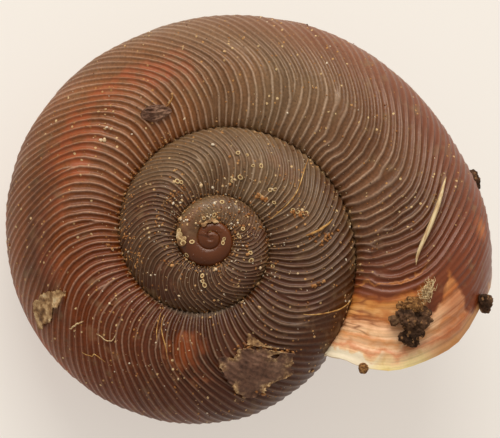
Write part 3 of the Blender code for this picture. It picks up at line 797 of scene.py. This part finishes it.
# %% Soil
soil, add, shader = new_finish("humus soil", Roughness=0.92, Specular_IOR_Level=0.2)
place = add("TexCoord", out=3)
lumps = add("TexNoise", {"Vector": place, "Scale": 1000 / 0.7, "Detail": 5.0})
crumbs = add("TexNoise", {"Vector": place, "Scale": 1000 / 0.12, "Detail": 3.0})
cells = add("TexVoronoi", {"Vector": place, "Scale": 1000 / 0.13}, out=1)
grain_tint, _, _ = add("SeparateColor", {0: cells}).node.outputs
body = add("ValToRGB", {0: lumps}, stops=(
    (0.30, "#24170e"), (0.46, "#443022"), (0.58, "#614633"), (0.72, "#866a4c")))
shade = add("MapRange", {0: crumbs, 1: 0.3, 2: 0.7, 3: 0.6, 4: 1.4})
body = add("HueSaturation", {"Color": body, "Value": shade})
is_grain = add("MapRange", {0: grain_tint, 1: 0.86, 2: 0.90})
body = add("Mix", {0: is_grain, 6: body, 7: linear("#8a6745")}, out=2, data_type="RGBA")
bump = add("Bump", {"Height": crumbs, "Strength": 0.9, "Distance": 0.06 * MM})
fill(shader, {"Base Color": body, "Normal": bump})

# %% Dry crumbs
dry_soil, add, shader = new_finish("dry tan crumbs", Roughness=0.85, Specular_IOR_Level=0.25)
place = add("TexCoord", out=3)
crumbs = add("TexNoise", {"Vector": place, "Scale": 1000 / 0.16, "Detail": 4.0, "Roughness": 0.7})
body = add("ValToRGB", {0: crumbs}, stops=(
    (0.36, "#3e2615"), (0.48, "#7d5630"), (0.60, "#a87c4a"), (0.74, "#d2ac74")))
bump = add("Bump", {"Height": crumbs, "Strength": 0.9, "Distance": 0.06 * MM})
fill(shader, {"Base Color": body, "Normal": bump})


# %% A crumb of soil
def soil_lump(balls, fineness, rough):
    """Balls, each (x, y, z, radius) in mm, melted into one rough lump, flat where it is stuck on."""
    for x, y, z, radius in balls:
        bpy.ops.mesh.primitive_ico_sphere_add(subdivisions=3, radius=radius, location=(x, y, z))
    lump = bpy.context.object
    for piece in bpy.context.scene.objects:
        if piece.name.startswith("Icosphere"):
            piece.select_set(True)
    bpy.ops.object.join()
    bpy.ops.object.transform_apply()
    remesh = lump.modifiers.new("melt", "REMESH")
    remesh.mode, remesh.voxel_size = "VOXEL", fineness
    bpy.ops.object.modifier_apply(modifier="melt")
    for size, share in ((0.55, 0.30), (0.22, 0.16), (0.09, 0.08)):
        clouds = bpy.data.textures.new("clouds", "CLOUDS")
        clouds.noise_scale = size
        displace = lump.modifiers.new("rough", "DISPLACE")
        displace.texture, displace.strength, displace.mid_level = clouds, rough * share * 2, 0.5
        bpy.ops.object.modifier_apply(modifier="rough")
    co = np.empty(len(lump.data.vertices) * 3)
    lump.data.vertices.foreach_get("co", co)
    co[2::3] = np.maximum(co[2::3], -0.04)
    lump.data.vertices.foreach_set("co", co)
    bpy.ops.object.mode_set(mode="EDIT")
    bpy.ops.mesh.select_all(action="SELECT")
    bpy.ops.mesh.normals_make_consistent(inside=False)
    bpy.ops.object.mode_set(mode="OBJECT")
    bpy.ops.object.shade_smooth()
    return lump

# %% The clod, the crumbs and the ball
CLOD_AT = (-0.041, 1.08)
clod_balls = ((0.0, 0.0, 0.35, 0.62), (-0.1, 0.50, 0.35, 0.48), (-0.15, -0.5, 0.3, 0.45), (0.35, 0.3, 0.3, 0.5),
              (0.8, 0.05, 0.3, 0.42), (1.0, -0.2, 0.25, 0.32), (0.95, 0.35, 0.25, 0.32),
              (-0.55, 0.4, 0.35, 0.4), (0.1, -0.85, 0.2, 0.28))
rim_balls = ((0, 0, 0.2, 0.42), (0.2, 0.22, 0.2, 0.3), (-0.15, -0.2, 0.2, 0.3))
side_balls = ((0, 0, 0.12, 0.36), (0.25, 0.1, 0.1, 0.3), (-0.3, -0.1, 0.1, 0.3))
gold_balls = ((-0.85, -0.35, 0.4, 0.36), (-0.75, 0.1, 0.45, 0.3), (-0.6, -0.7, 0.3, 0.25),
              (-1.05, 0.0, 0.3, 0.2))
for name, balls, fineness, rough, place, finish, *replaced in (
        ("clod", clod_balls, 0.055, 0.9, CLOD_AT, soil, "soil_clod"),
        ("crumb_at_rim", rim_balls, 0.05, 0.7, (-0.002, 1.66, 0.02 * MM), soil, "rim_crumb"),
        ("crumb_at_side", side_balls, 0.05, 0.6, (-0.067, 2.05, 0.02 * MM), soil, "side_crumb"),
        ("dry_lump_on_clod", gold_balls, 0.045, 0.9, CLOD_AT, dry_soil),
        ("ball_at_lip", ((0, 0, 0.2, 0.29), (0.05, 0.08, 0.24, 0.22)), 0.04, 0.22, (0.001, 0.848), dry_soil)):
    lump = soil_lump(balls, fineness, rough)
    lump.data.transform(seat(*place))
    keep_piece(lump, name, "soil", finish, *replaced)

# %% [markdown]
# A rotted leaf is brown skin over a lace of veins, torn at its edges, which curl up and dry to tan.
# The scrap is a fine flat grid in growth and station, laid on the shell. Its corners outside the torn
# outline are deleted, and Solidify then gives it thickness. The UV map keeps how far a place is from
# the torn edge, so the finish can make the edge pale.


# %% A torn patch
def torn_patch(outline_spots, lift, curl, thickness, fineness=0.05, hole=None, seed=20):
    """A scrap with this torn outline; lift, curl, thickness, fineness and the hole's radius in mm."""
    corners = np.array(outline_spots)
    middle_growth, middle_station = corners.mean(axis=0)
    across = bare_surface(middle_growth, middle_station + np.array((-0.1, 0.1)))
    to_mm = np.array((2 * math.pi * 0.8 * float(radius_at(middle_growth)),
                      np.linalg.norm(across[1] - across[0]) / 0.2)) / MM
    margin = 0.15 / to_mm
    low, high = corners.min(axis=0) - margin, corners.max(axis=0) + margin
    rows, columns = np.maximum(6, np.ceil((high - low) * to_mm / fineness)).astype(int)
    g, s = np.meshgrid(np.linspace(low[0], high[0], rows + 1), np.linspace(low[1], high[1], columns + 1),
                       indexing="ij")
    flat = np.stack([g, s], axis=-1) * to_mm
    ends = corners * to_mm
    inside = np.zeros(g.shape, dtype=bool)
    to_edge = np.full(g.shape, np.inf)
    for a, b in zip(ends, np.roll(ends, -1, axis=0)):
        side = b - a
        t = np.clip(((flat - a) @ side) / (side @ side), 0, 1)
        to_edge = np.minimum(to_edge, np.linalg.norm(flat - a - t[..., None] * side, axis=-1))
        if a[1] != b[1]:
            crosses = (a[1] > flat[..., 1]) != (b[1] > flat[..., 1])
            inside ^= crosses & (flat[..., 0] < side[0] * (flat[..., 1] - a[1]) / side[1] + a[0])
    coarse, torn, waves, fine_waves = (hills(flat[..., 0] / size, flat[..., 1] / size, seed + n)
                                       for n, size in enumerate((0.35, 0.12, 0.6, 0.2)))
    depth = np.where(inside, to_edge, -to_edge) + 0.10 * coarse + 0.05 * torn
    if hole:
        depth = np.minimum(depth, np.linalg.norm(flat - np.array(hole[:2]) * to_mm, axis=-1) - hole[2])
    edge_lift = np.exp(-np.maximum(depth, 0) / 0.16) * (0.5 + 0.5 * hills(g * 300, s * 2.5, seed + 4))
    out = (lift + curl * edge_lift + 0.035 * waves + 0.02 * fine_waves) * MM
    bare_places = bare_surface(g, s)
    places = (on_surface(g, s) - bare_places) * 0.35 + bare_surface(g, s, 0.1 * MM + out)
    kept = depth > 0
    dropped = ~(kept[:-1, :-1] & kept[1:, :-1] & kept[:-1, 1:] & kept[1:, 1:])
    patch = laid_grid("patch", places, depth, s, waves * 0.5 + 0.5, fine_waves * 0.5 + 0.5, dropped)
    solidify = patch.modifiers.new("thickness", "SOLIDIFY")
    solidify.thickness, solidify.offset = thickness * MM, 1
    bpy.ops.object.modifier_apply(modifier="thickness")
    bpy.ops.object.shade_smooth_by_angle(angle=math.radians(60))
    while patch.modifiers:
        bpy.ops.object.modifier_apply(modifier=patch.modifiers[0].name)
    return patch

# %% Finishes of leaf
leaf, add, shader = new_finish("rotted leaf", Roughness=0.7, Specular_IOR_Level=0.35)
place = add("TexCoord", out=3)
to_edge, _, _ = add("SeparateXYZ", {0: add("UVMap", uv_map="growth")}).node.outputs
veins = add("TexVoronoi", {"Vector": place, "Scale": 1000 / 0.32}, feature="DISTANCE_TO_EDGE")
cloud = add("TexNoise", {"Vector": place, "Scale": 1000 / 0.9, "Detail": 5.0})
fine = add("TexNoise", {"Vector": place, "Scale": 1000 / 0.15, "Detail": 4.0})
blade = add("ValToRGB", {0: cloud}, stops=((0.32, "#4c3226"), (0.5, "#70503f"), (0.66, "#8c6c58")))
vein = add("MapRange", {0: veins, 1: 0.06, 2: 0.0, 3: 0.0, 4: 0.3})
ragged = add("Math", {0: fine, 1: -0.3, 2: to_edge}, operation="MULTIPLY_ADD")
dry = add("MapRange", {0: ragged, 1: 0.28, 2: -0.08})
in_cloud = add("MapRange", {0: cloud, 1: 0.47, 2: 0.58})
dry = add("Math", {0: dry, 1: in_cloud}, operation="MULTIPLY")
dry_tone = add("ValToRGB", {0: fine}, stops=((0.35, "#7a5634"), (0.5, "#a98458"), (0.65, "#c9ad82")))
for amount, colour in ((vein, linear("#2c1d15")), (dry, dry_tone)):
    blade = add("Mix", {0: amount, 6: blade, 7: colour}, out=2, data_type="RGBA")
shade = add("MapRange", {0: fine, 1: 0.3, 2: 0.7, 3: 0.72, 4: 1.25})
blade = add("HueSaturation", {"Color": blade, "Value": shade})
bump = add("Bump", {"Height": fine, "Strength": 0.7, "Distance": 0.05 * MM})
fill(shader, {"Base Color": blade, "Normal": bump})

pale_leaf, add, shader = new_finish("bleached leaf", Roughness=0.75, Specular_IOR_Level=0.3)
place = add("TexCoord", out=3)
cloud = add("TexNoise", {"Vector": place, "Scale": 1000 / 0.4, "Detail": 5.0})
fine = add("TexNoise", {"Vector": place, "Scale": 1000 / 0.08, "Detail": 3.0})
blade = add("ValToRGB", {0: cloud}, stops=(
    (0.30, "#5d4029"), (0.45, "#94714b"), (0.58, "#c5a478"), (0.72, "#dcc8a0")))
shade = add("MapRange", {0: fine, 1: 0.3, 2: 0.7, 3: 0.75, 4: 1.15})
blade = add("HueSaturation", {"Color": blade, "Value": shade})
bump = add("Bump", {"Height": fine, "Strength": 0.6, "Distance": 0.03 * MM})
fill(shader, {"Base Color": blade, "Normal": bump})

# %% The scrap of leaf and the flakes
scrap_outline = ((-0.864, 1.08), (-0.88, 1.12), (-0.892, 1.08), (-0.904, 1.08), (-0.916, 1.16), (-0.92, 1.28),
                 (-0.92, 1.4), (-0.904, 1.48), (-0.888, 1.6), (-0.876, 1.56), (-0.868, 1.56), (-0.856, 1.6),
                 (-0.844, 1.6), (-0.836, 1.56), (-0.84, 1.44), (-0.848, 1.32), (-0.856, 1.2))
flake_outline = ((-0.608, 1.70), (-0.606, 1.6), (-0.612, 1.46), (-0.624, 1.36), (-0.636, 1.28), (-0.646, 1.24),
                 (-0.642, 1.34), (-0.632, 1.42), (-0.634, 1.52), (-0.624, 1.64), (-0.614, 1.74))
triangle = ((-0.907, 1.05), (-0.921, 0.93), (-0.924, 1.04), (-0.926, 1.26), (-0.918, 1.16))
crust = ((-2.50, 1.42), (-2.53, 1.58), (-2.57, 1.60), (-2.61, 1.44), (-2.635, 1.26), (-2.62, 1.10),
         (-2.59, 1.14), (-2.56, 1.28), (-2.53, 1.32))
crescent = ((-3.42, 1.30), (-3.40, 1.55), (-3.34, 1.66), (-3.27, 1.62), (-3.23, 1.44), (-3.27, 1.36),
            (-3.33, 1.40), (-3.38, 1.30))
piece = torn_patch(scrap_outline, 0.06, 0.22, 0.045, hole=(-0.912, 1.30, 0.16))
keep_piece(piece, "scrap_of_leaf", "leaf", leaf, "leaf_scrap")
for name, spots, lift, curl, thickness, fineness, seed, *replaced in (
        ("flake_at_left", flake_outline, 0.05, 0.18, 0.05, 0.04, 30, "pale_flake"),
        ("green_flake", triangle, 0.05, 0.08, 0.03, 0.04, 40),
        ("crust_by_tip", crust, 0.0, 0.05, 0.03, 0.03, 50),
        ("crust_on_tip", crescent, 0.0, 0.03, 0.03, 0.025, 60)):
    piece = torn_patch(spots, lift, curl, thickness, fineness, seed=seed)
    keep_piece(piece, name, "pale_leaf", pale_leaf, *replaced)

# %% [markdown]
# The seed husk is a flat oval scale with ridges along it. It starts as a sphere of quads, is pressed
# flat, and its ridges are sine waves across it, broken up by noise.

# %% Seed husk
bpy.ops.mesh.primitive_uv_sphere_add(segments=96, ring_count=48, radius=1)
husk = bpy.context.object
co = np.empty(len(husk.data.vertices) * 3)
husk.data.vertices.foreach_get("co", co)
x, y, z = co.reshape(-1, 3).T
ridges = 0.035 * np.sin(y * 15 + 2.2 * hills(x * 2, y * 2, 70)) * np.sqrt(np.clip(1 - x * x, 0, 1))
rough = 0.08 * hills(x * 3, y * 3, 71) + 0.05 * hills(x * 8, y * 11, 72)
swell = 1 + 0.10 * hills(x * 1.5, y * 1.5, 73)
tip = 1 + 0.18 * np.maximum(x, 0) ** 2
husk_co = np.stack([0.76 * x * swell * tip, 0.47 * y * swell * (1 - 0.25 * np.maximum(x, 0)),
                    np.where(z > 0, z * 0.22 + ridges + rough, z * 0.06)], axis=1)
husk.data.vertices.foreach_set("co", husk_co.reshape(-1))
bpy.ops.object.shade_smooth()
husk.data.uv_layers[0].name = "growth"
husk.data.uv_layers[0].data.foreach_set("uv", np.ones(2 * len(husk.data.loops), dtype=np.float32))
husk.data.transform(seat(-0.432, 0.80, 0.10 * MM, math.radians(-20)))
keep_piece(husk, "husk", "soil", leaf, "seed_husk")

# %% [markdown]
# Threads are the stalk, root hairs and plant fibres. Each is a curve through places on the shell, made
# round by its bevel, thinner towards its ends, and then turned into a mesh.


# %% A thread
def strand_through(places, radii, width, rounding=2):
    """A round strand through places, as a mesh; radii are shares of half its width."""
    bpy.ops.curve.primitive_nurbs_path_add()
    path = bpy.context.object.data
    path.splines.clear()
    spline = path.splines.new("POLY")
    spline.points.add(len(places) - 1)
    for point, place, radius in zip(spline.points, places, radii):
        point.co, point.radius = (*place, 1), radius
    path.bevel_depth, path.bevel_resolution, path.use_fill_caps = width / 2, rounding, True
    bpy.ops.object.convert(target="MESH")
    return bpy.context.object


def thread(spots, width, lift, steps=14, blunt=0.3, wavy=0.0, seed=80):
    """A smooth strand along (growth, station) spots, thinner to its ends; width and lift in metres."""
    spots = np.array(spots)
    knots = np.linspace(0, 1, len(spots))
    t = np.linspace(0, 1, steps)
    order = min(3, len(spots) - 1)
    fits = [np.polynomial.polynomial.polyfit(knots, spots[:, k], order) for k in (0, 1)]
    g, s = (np.polynomial.polynomial.polyval(t, fit) for fit in fits)
    g = g + wavy * hills(t * 7, 0.5, seed) * 0.002
    s = s + wavy * hills(t * 7, 3.5, seed) * 0.03
    over_ribs = 0.12 * MM * (1 - ease(-0.07, -0.05, g))
    radii = [blunt + (1 - blunt) * max(0, math.sin(math.pi * along)) ** 0.7 for along in t]
    strand = strand_through(bare_surface(g, s, lift + over_ribs), radii, width)
    bpy.ops.object.shade_smooth()
    return strand

# %% Finishes of straw and root hair
straw, add, shader = new_finish("dry grass stalk", Roughness=0.55, Specular_IOR_Level=0.4)
streaks = add("Mapping", {0: add("TexCoord", out=3), "Rotation": (0, 0, math.radians(17)),
                          "Scale": (9000, 900, 9000)})
streaks = add("TexNoise", {"Vector": streaks, "Scale": 1.0, "Detail": 4.0})
stalk_tone = add("ValToRGB", {0: streaks}, stops=((0.30, "#a8835a"), (0.48, "#cdb184"), (0.66, "#e3d2a8")))
bump = add("Bump", {"Height": streaks, "Strength": 0.5, "Distance": 0.02 * MM})
fill(shader, {"Base Color": stalk_tone, "Normal": bump})

rust, add, shader = new_finish("rusty root hair", Roughness=0.6, Specular_IOR_Level=0.35)
spots = add("TexNoise", {"Vector": add("TexCoord", out=3), "Scale": 1000 / 0.3, "Detail": 4.0})
hair_tone = add("ValToRGB", {0: spots}, stops=((0.34, "#8a5a2c"), (0.50, "#b98a48"), (0.66, "#dcb878")))
fill(shader, {"Base Color": hair_tone})

# %% The stalk and the fibres
stalk = thread(((-0.112, 1.44), (-0.112, 1.36), (-0.111, 1.28), (-0.108, 1.2), (-0.103, 1.12), (-0.096, 1.07),
                (-0.088, 1.055)), 0.26 * MM, 0.16 * MM, steps=24, blunt=0.08, wavy=0.08)
keep_piece(stalk, "stalk", "straw", straw, "straw")
fibres = (
    ("fibre_yellow", 0.07, rust, ((-0.984, 1.2), (-0.98, 1.32), (-0.976, 1.48), (-0.976, 1.64), (-0.98, 1.76))),
    ("fibre_long", 0.06, rust, ((-1.16, 1.68), (-1.168, 1.48), (-1.176, 1.32), (-1.176, 1.16), (-1.18, 0.84),
                                (-1.172, 0.44))),
    ("fibre_bright", 0.14, rust, ((-1.112, 1.04), (-1.108, 1.16), (-1.103, 1.26), (-1.097, 1.4))),
    ("fibre_low", 0.06, rust, ((-0.776, 0.48), (-0.78, 0.72), (-0.784, 0.96))),
    ("fibre_low_2", 0.06, rust, ((-0.784, 0.52), (-0.788, 0.76), (-0.796, 1.0), (-0.796, 1.12))),
    ("fibre_twin", 0.06, straw, ((-0.7, 1.24), (-0.712, 1.2), (-0.716, 1.24), (-0.724, 1.16), (-0.728, 1.12))),
    ("fibre_by_husk", 0.08, rust, ((-0.424, 0.8), (-0.412, 0.84), (-0.404, 0.92))),
    ("rod", 0.09, straw, ((-0.66, 1.4), (-0.67, 1.32), (-0.68, 1.24))),
    ("fibre_lower", 0.05, rust, ((-0.676, 1.48), (-0.688, 1.44), (-0.696, 1.4), (-0.708, 1.4))))
for number, (name, width, finish, spots) in enumerate(fibres):
    strand = thread(spots, width * MM, width * MM * 0.4, blunt=0.35, wavy=0.35, seed=90 + number)
    keep_piece(strand, name, "straw", finish)

# %% [markdown]
# Loose fibres also make a tan tuft on top of the clod. Each is a short thread in the clod's own space,
# bent at random, and all of them are joined into one piece.

# %% The tuft on the clod
chance = np.random.default_rng(7)
tuft_seat = seat(-0.063, 1.13)
strands = []
for _ in range(130):
    start = chance.normal((0, 0, 0.55), (0.30, 0.14, 0.16))
    start[1] -= 0.3 * start[0]
    way = chance.normal((0.4, -0.2, 0.1), (1.0, 0.5, 0.5))
    way /= np.linalg.norm(way)
    bow = chance.normal(0, 0.07, 3)
    length = chance.uniform(0.2, 0.6)
    places, radii = [], []
    for t in (-0.5, -0.25, 0, 0.25, 0.5):
        co = start + way * t * length + bow * (1 - 4 * t * t)
        co[2] = max(co[2], 0.1)
        places.append(tuft_seat @ Vector(co))
        radii.append(1 - 1.4 * abs(t))
    strands.append(strand_through(places, radii, 2 * chance.uniform(0.02, 0.038) * MM, rounding=0))
for strand in strands:
    strand.select_set(True)
bpy.ops.object.join()
keep_piece(bpy.context.object, "tuft_on_clod", "straw", straw)

# %% [markdown]
# Small crusts, rings of lime that dried round a droplet, are one little dish with 29 faces, copied.
# The sand is one rough pebble of 20 faces, copied some 2,500 times with its own size, turn and
# tone. A chance generator with a fixed seed gives the same sand every time. The tone of each copy goes
# into a UV map, and the finish turns it into a colour.


# %% Copies of a small shape
def scatter(name, shape, seats, tones, slot, finish):
    """One mesh with a copy of the shape in each seat.

    Its UV map keeps the tone of the copy, and how high a place is on it, from 0 at its foot to 1."""
    co = np.empty(len(shape.data.vertices) * 3)
    shape.data.vertices.foreach_get("co", co)
    co = np.c_[co.reshape(-1, 3), np.ones(len(co) // 3)]
    faces = [tuple(face.vertices) for face in shape.data.polygons]
    z = (co[:, 2] - co[:, 2].min()) / (co[:, 2].max() - co[:, 2].min())
    lift = [z[v] for face in faces for v in face]
    moved = np.concatenate([co @ np.array(place).T[:, :3] for place in seats])
    every = [tuple(v + n * len(co) for v in face) for n in range(len(seats)) for face in faces]
    mesh = bpy.data.meshes.new(name)
    mesh.from_pydata(moved.tolist(), [], every)
    values = np.stack([np.repeat(tones, len(lift)), np.tile(lift, len(seats))], axis=1)
    mesh.uv_layers.new(name="tone").data.foreach_set("uv", values.astype(np.float32).reshape(-1))
    piece = bpy.data.objects.new(name, mesh)
    bpy.context.scene.collection.objects.link(piece)
    mesh.shade_smooth()
    bpy.data.objects.remove(shape)
    keep_piece(piece, name, slot, finish)

# %% Finishes of sand and lime
grit, add, shader = new_finish("sand and dry crumbs", Roughness=0.6, Specular_IOR_Level=0.4)
tone = add("SeparateXYZ", {0: add("UVMap", uv_map="tone")})
speckle = add("TexNoise", {"Vector": add("TexCoord", out=3), "Scale": 1000 / 0.06, "Detail": 2.0})
grit_tone = add("ValToRGB", {0: tone}, stops=(
    (0.0, "#3a2418"), (0.18, "#6d4527"), (0.4, "#a0662f"), (0.62, "#bf8d57"), (0.82, "#d8b98a"),
    (1.0, "#efe3cc")))
shade = add("MapRange", {0: speckle, 1: 0.3, 2: 0.7, 3: 0.7, 4: 1.2})
fill(shader, {"Base Color": add("HueSaturation", {"Color": grit_tone, "Value": shade})})

lime, add, shader = new_finish("dried lime", Roughness=0.65, Specular_IOR_Level=0.4)
tone, high, _ = add("SeparateXYZ", {0: add("UVMap", uv_map="tone")}).node.outputs
ring_tone = add("ValToRGB", {0: high}, stops=(
    (0.0, "#6a4424"), (0.45, "#8f5f30"), (0.62, "#cba25f"), (1.0, "#ecd5a0")))
shade = add("MapRange", {0: tone, 3: 0.7, 4: 1.05})
fill(shader, {"Base Color": add("HueSaturation", {"Color": ring_tone, "Value": shade})})

# %% Rings of lime
bpy.ops.mesh.primitive_circle_add(vertices=9, radius=1, fill_type="NGON")
dish = bpy.context.object
bpy.ops.object.mode_set(mode="EDIT")
bpy.ops.mesh.select_mode(type="FACE")
bpy.ops.mesh.select_all(action="SELECT")
bpy.ops.mesh.extrude_region_move(TRANSFORM_OT_translate={"value": (0, 0, 0.30)})
bpy.ops.mesh.inset(thickness=0.28)
bpy.ops.transform.translate(value=(0, 0, 0.05))
bpy.ops.mesh.inset(thickness=0.22)
bpy.ops.transform.translate(value=(0, 0, -0.30))
bpy.ops.object.mode_set(mode="OBJECT")
ring_spots = ((-2.424, 0.64), (-2.348, 0.68), (-2.348, 0.24), (-3.4, 0.04), (-3.1, 0.88), (-3.052, 0.8),
              (-2.656, 1.52), (-2.696, 1.72), (-2.648, 0.84), (-2.42, 1.72), (-2.156, 0.96), (-2.132, 0.64),
              (-2.012, 1.2), (-2.044, 1.12), (-1.832, 0.72), (-1.832, 0.92), (-1.836, 1.04), (-1.272, 1.08),
              (-1.256, 1.12), (-1.312, 0.68), (-1.296, 0.8), (-1.216, 0.96), (-1.22, 0.68), (-1.2, 0.76),
              (-1.224, 0.88), (-1.236, 0.64), (-1.164, 1.0), (-1.156, 1.04), (-1.144, 1.12), (-1.296, 1.2),
              (-1.28, 1.2), (-1.056, 0.4), (-2.284, 1.32), (-1.444, 1.0), (-1.44, 0.92))
on_crust = ((-2.53, 1.45), (-2.56, 1.50), (-2.585, 1.42), (-2.61, 1.30), (-2.555, 1.36), (-2.60, 1.20),
            (-3.38, 1.45), (-3.33, 1.52), (-3.28, 1.50), (-3.36, 1.54))
seats = []
for g, s in ring_spots + on_crust:
    size = chance.uniform(0.085, 0.135)
    out = (0.07 if (g, s) in on_crust else 0.01) * MM
    place = seat(g, s, out, chance.uniform(0, 3))
    seats.append(place @ Matrix.Diagonal((size * chance.uniform(1, 1.5), size, 0.075, 1)))
scatter("lime_rings", dish, seats, chance.uniform(0, 1, len(seats)), "pale_leaf", lime)

# %% Sand
bpy.ops.mesh.primitive_ico_sphere_add(subdivisions=1, radius=1)
pebble = bpy.context.object
for vertex in pebble.data.vertices:
    vertex.co *= 1 + 0.25 * (float(scramble(vertex.index, 1, 99)) - 0.5)
# Where sand lies thinly: how many grains, growth from and to, station from and to
fields = ((1320, (-2.5, -0.95), (0.1, 1.8)), (480, (-0.95, -0.08), (0.2, 1.9)),
          (120, (-1.55, -1.15), (0.3, 1.2)), (80, (-0.84, -0.70), (0.6, 1.4)))
IN_SUTURE = 100
grains = sum(count for count, _, _ in fields) + IN_SUTURE
growth = np.concatenate([chance.uniform(*span, count) for count, span, _ in fields]
                        + [chance.uniform(-2.3, -0.1, IN_SUTURE)])
station = np.concatenate([chance.uniform(*span, count) for count, _, span in fields]
                         + [np.abs(chance.normal(0, 0.12, IN_SUTURE)) + 0.05])
size = np.clip(chance.lognormal(math.log(0.027), 0.50, grains), 0.014, 0.11)
tones = np.clip(chance.normal(0.58, 0.28, grains), 0, 1)
# Places where grains crowd: from one end to the other, how many, how large in mm and their tone
clusters = (((-1.104, 1.16), (-1.08, 1.32), 26, 0.07, 0.42), ((-1.168, 0.92), (-1.14, 1.12), 16, 0.07, 0.45),
            ((-1.24, 0.60), (-1.212, 0.68), 18, 0.08, 0.42), ((-0.892, 1.08), (-0.92, 1.10), 26, 0.07, 0.40),
            ((-0.922, 1.16), (-0.92, 1.40), 26, 0.07, 0.42), ((-0.854, 1.60), (-0.85, 1.68), 12, 0.08, 0.38),
            ((-1.03, 1.20), (-1.025, 1.28), 12, 0.07, 0.45), ((-0.492, 0.99), (-0.490, 1.01), 4, 0.13, 0.92),
            ((-0.478, 1.05), (-0.472, 1.08), 5, 0.06, 0.85), ((-0.462, 1.11), (-0.448, 1.16), 8, 0.05, 0.80),
            ((-0.70, 0.02), (-0.42, 0.07), 130, 0.05, 0.50), ((-1.62, 1.45), (-1.42, 1.75), 90, 0.05, 0.52),
            ((-1.60, 0.9), (-1.44, 0.8), 60, 0.045, 0.52), ((-1.30, 0.02), (-1.05, 0.05), 40, 0.045, 0.45))
for (g0, s0), (g1, s1), count, large, pale in clusters:
    share = chance.uniform(0, 1, count)
    spread = 0.018 + 0.0008 * count
    growth = np.append(growth, g0 + (g1 - g0) * share + chance.normal(0, 0.0016, count))
    station = np.append(station, np.abs(s0 + (s1 - s0) * share + chance.normal(0, spread, count)))
    size = np.append(size, large * chance.uniform(0.5, 1.3, count))
    tones = np.append(tones, np.clip(chance.normal(pale, 0.12, count), 0, 1))
seats = []
for g, s, radius in zip(growth, station, size):
    stretch = Matrix.Diagonal((radius * chance.uniform(1, 1.7), radius, radius * 0.8, 1))
    seats.append(seat(g, s, radius * 0.3 * MM, chance.uniform(0, 6.28)) @ stretch)
scatter("sand", pebble, seats, tones, "soil", grit)

# %% [markdown]
# ## Camera, light and floor
#
# The photograph looks almost straight down the axis that the shell winds round, 8 degrees off it, with
# a long lens: 26.6 mm of the shell fill the width of the picture. The light is a large soft window
# beyond the top of the picture, and the room is darker on the other side, so slopes that face the lower
# edge stay dark. The floor is a light table, so the shadow on it stays faint.

# %% The camera
ROLL, OFF_AXIS = math.radians(20), math.radians(8)
PICTURE_WIDTH, DISTANCE = 26.575 * MM, 250 * MM
across = Vector((math.cos(ROLL), math.sin(ROLL), 0))
upward = Vector((-math.sin(ROLL), math.cos(ROLL), 0))
toward = Vector((0, 0, math.cos(OFF_AXIS))) - upward * math.sin(OFF_AXIS)
upward = upward * math.cos(OFF_AXIS) + Vector((0, 0, math.sin(OFF_AXIS)))
lean = LYING.to_3x3()
across, upward, toward = lean @ across, lean @ upward, lean @ toward
middle = APEX + across * 2.07 * MM + upward * 0.995 * MM
bpy.ops.object.camera_add()
camera = bpy.context.object
camera.matrix_world = (Matrix.Translation(middle + toward * DISTANCE)
                       @ Matrix((across, upward, toward)).transposed().to_4x4())
camera.data.sensor_width = 36
camera.data.lens = 36 * DISTANCE / PICTURE_WIDTH
camera.data.clip_start, camera.data.clip_end = 0.01, 5
camera.select_set(False)
bpy.context.scene.camera = camera
print("camera looks down at", round(math.degrees(math.asin(toward.z)), 1), "degrees")

# %% Light
flat_up = Vector((upward.x, upward.y, 0)).normalized()
flat_right = Vector((across.x, across.y, 0)).normalized()
to_window = (flat_up + Vector((0, 0, 0.9)) - flat_right * 0.12).normalized()
bpy.ops.object.light_add(type="AREA")
light = bpy.context.object
light.name = "window"
light.location = middle + to_window * 0.32
light.rotation_euler = to_window.to_track_quat("Z", "Y").to_euler()
light.data.shape = "RECTANGLE"
light.data.size, light.data.size_y = 0.26, 0.16
light.data.energy = 0.75
light.data.color = linear("#fff6ea")[:3]
light.select_set(False)
world = bpy.data.worlds.new("pale room")
bpy.context.scene.world = world
world.use_nodes = True
add = partial(add_node, world.node_tree)
side = add("VectorMath", {0: add("TexCoord"), 1: flat_up}, out=1, operation="DOT_PRODUCT")
side = add("MapRange", {0: side, 1: -0.8, 2: 0.8, 3: 0.40, 4: 0.72})
fill(world.node_tree.nodes["Background"], {"Strength": side, "Color": linear("#fff3e6")})
bpy.context.scene.view_settings.view_transform = "Standard"

# %% Floor
bpy.ops.mesh.primitive_plane_add(size=1.2, location=(0, 0, -0.02 * MM))
floor = bpy.context.object
floor.name = "pale_floor"
paper, _, _ = new_finish("matt light table", Base_Color=linear("#a8abaa"), Roughness=0.9,
                         Emission_Color=linear("#fbf0e5"), Emission_Strength=0.54)
floor.data.materials.append(paper)
floor.select_set(False)
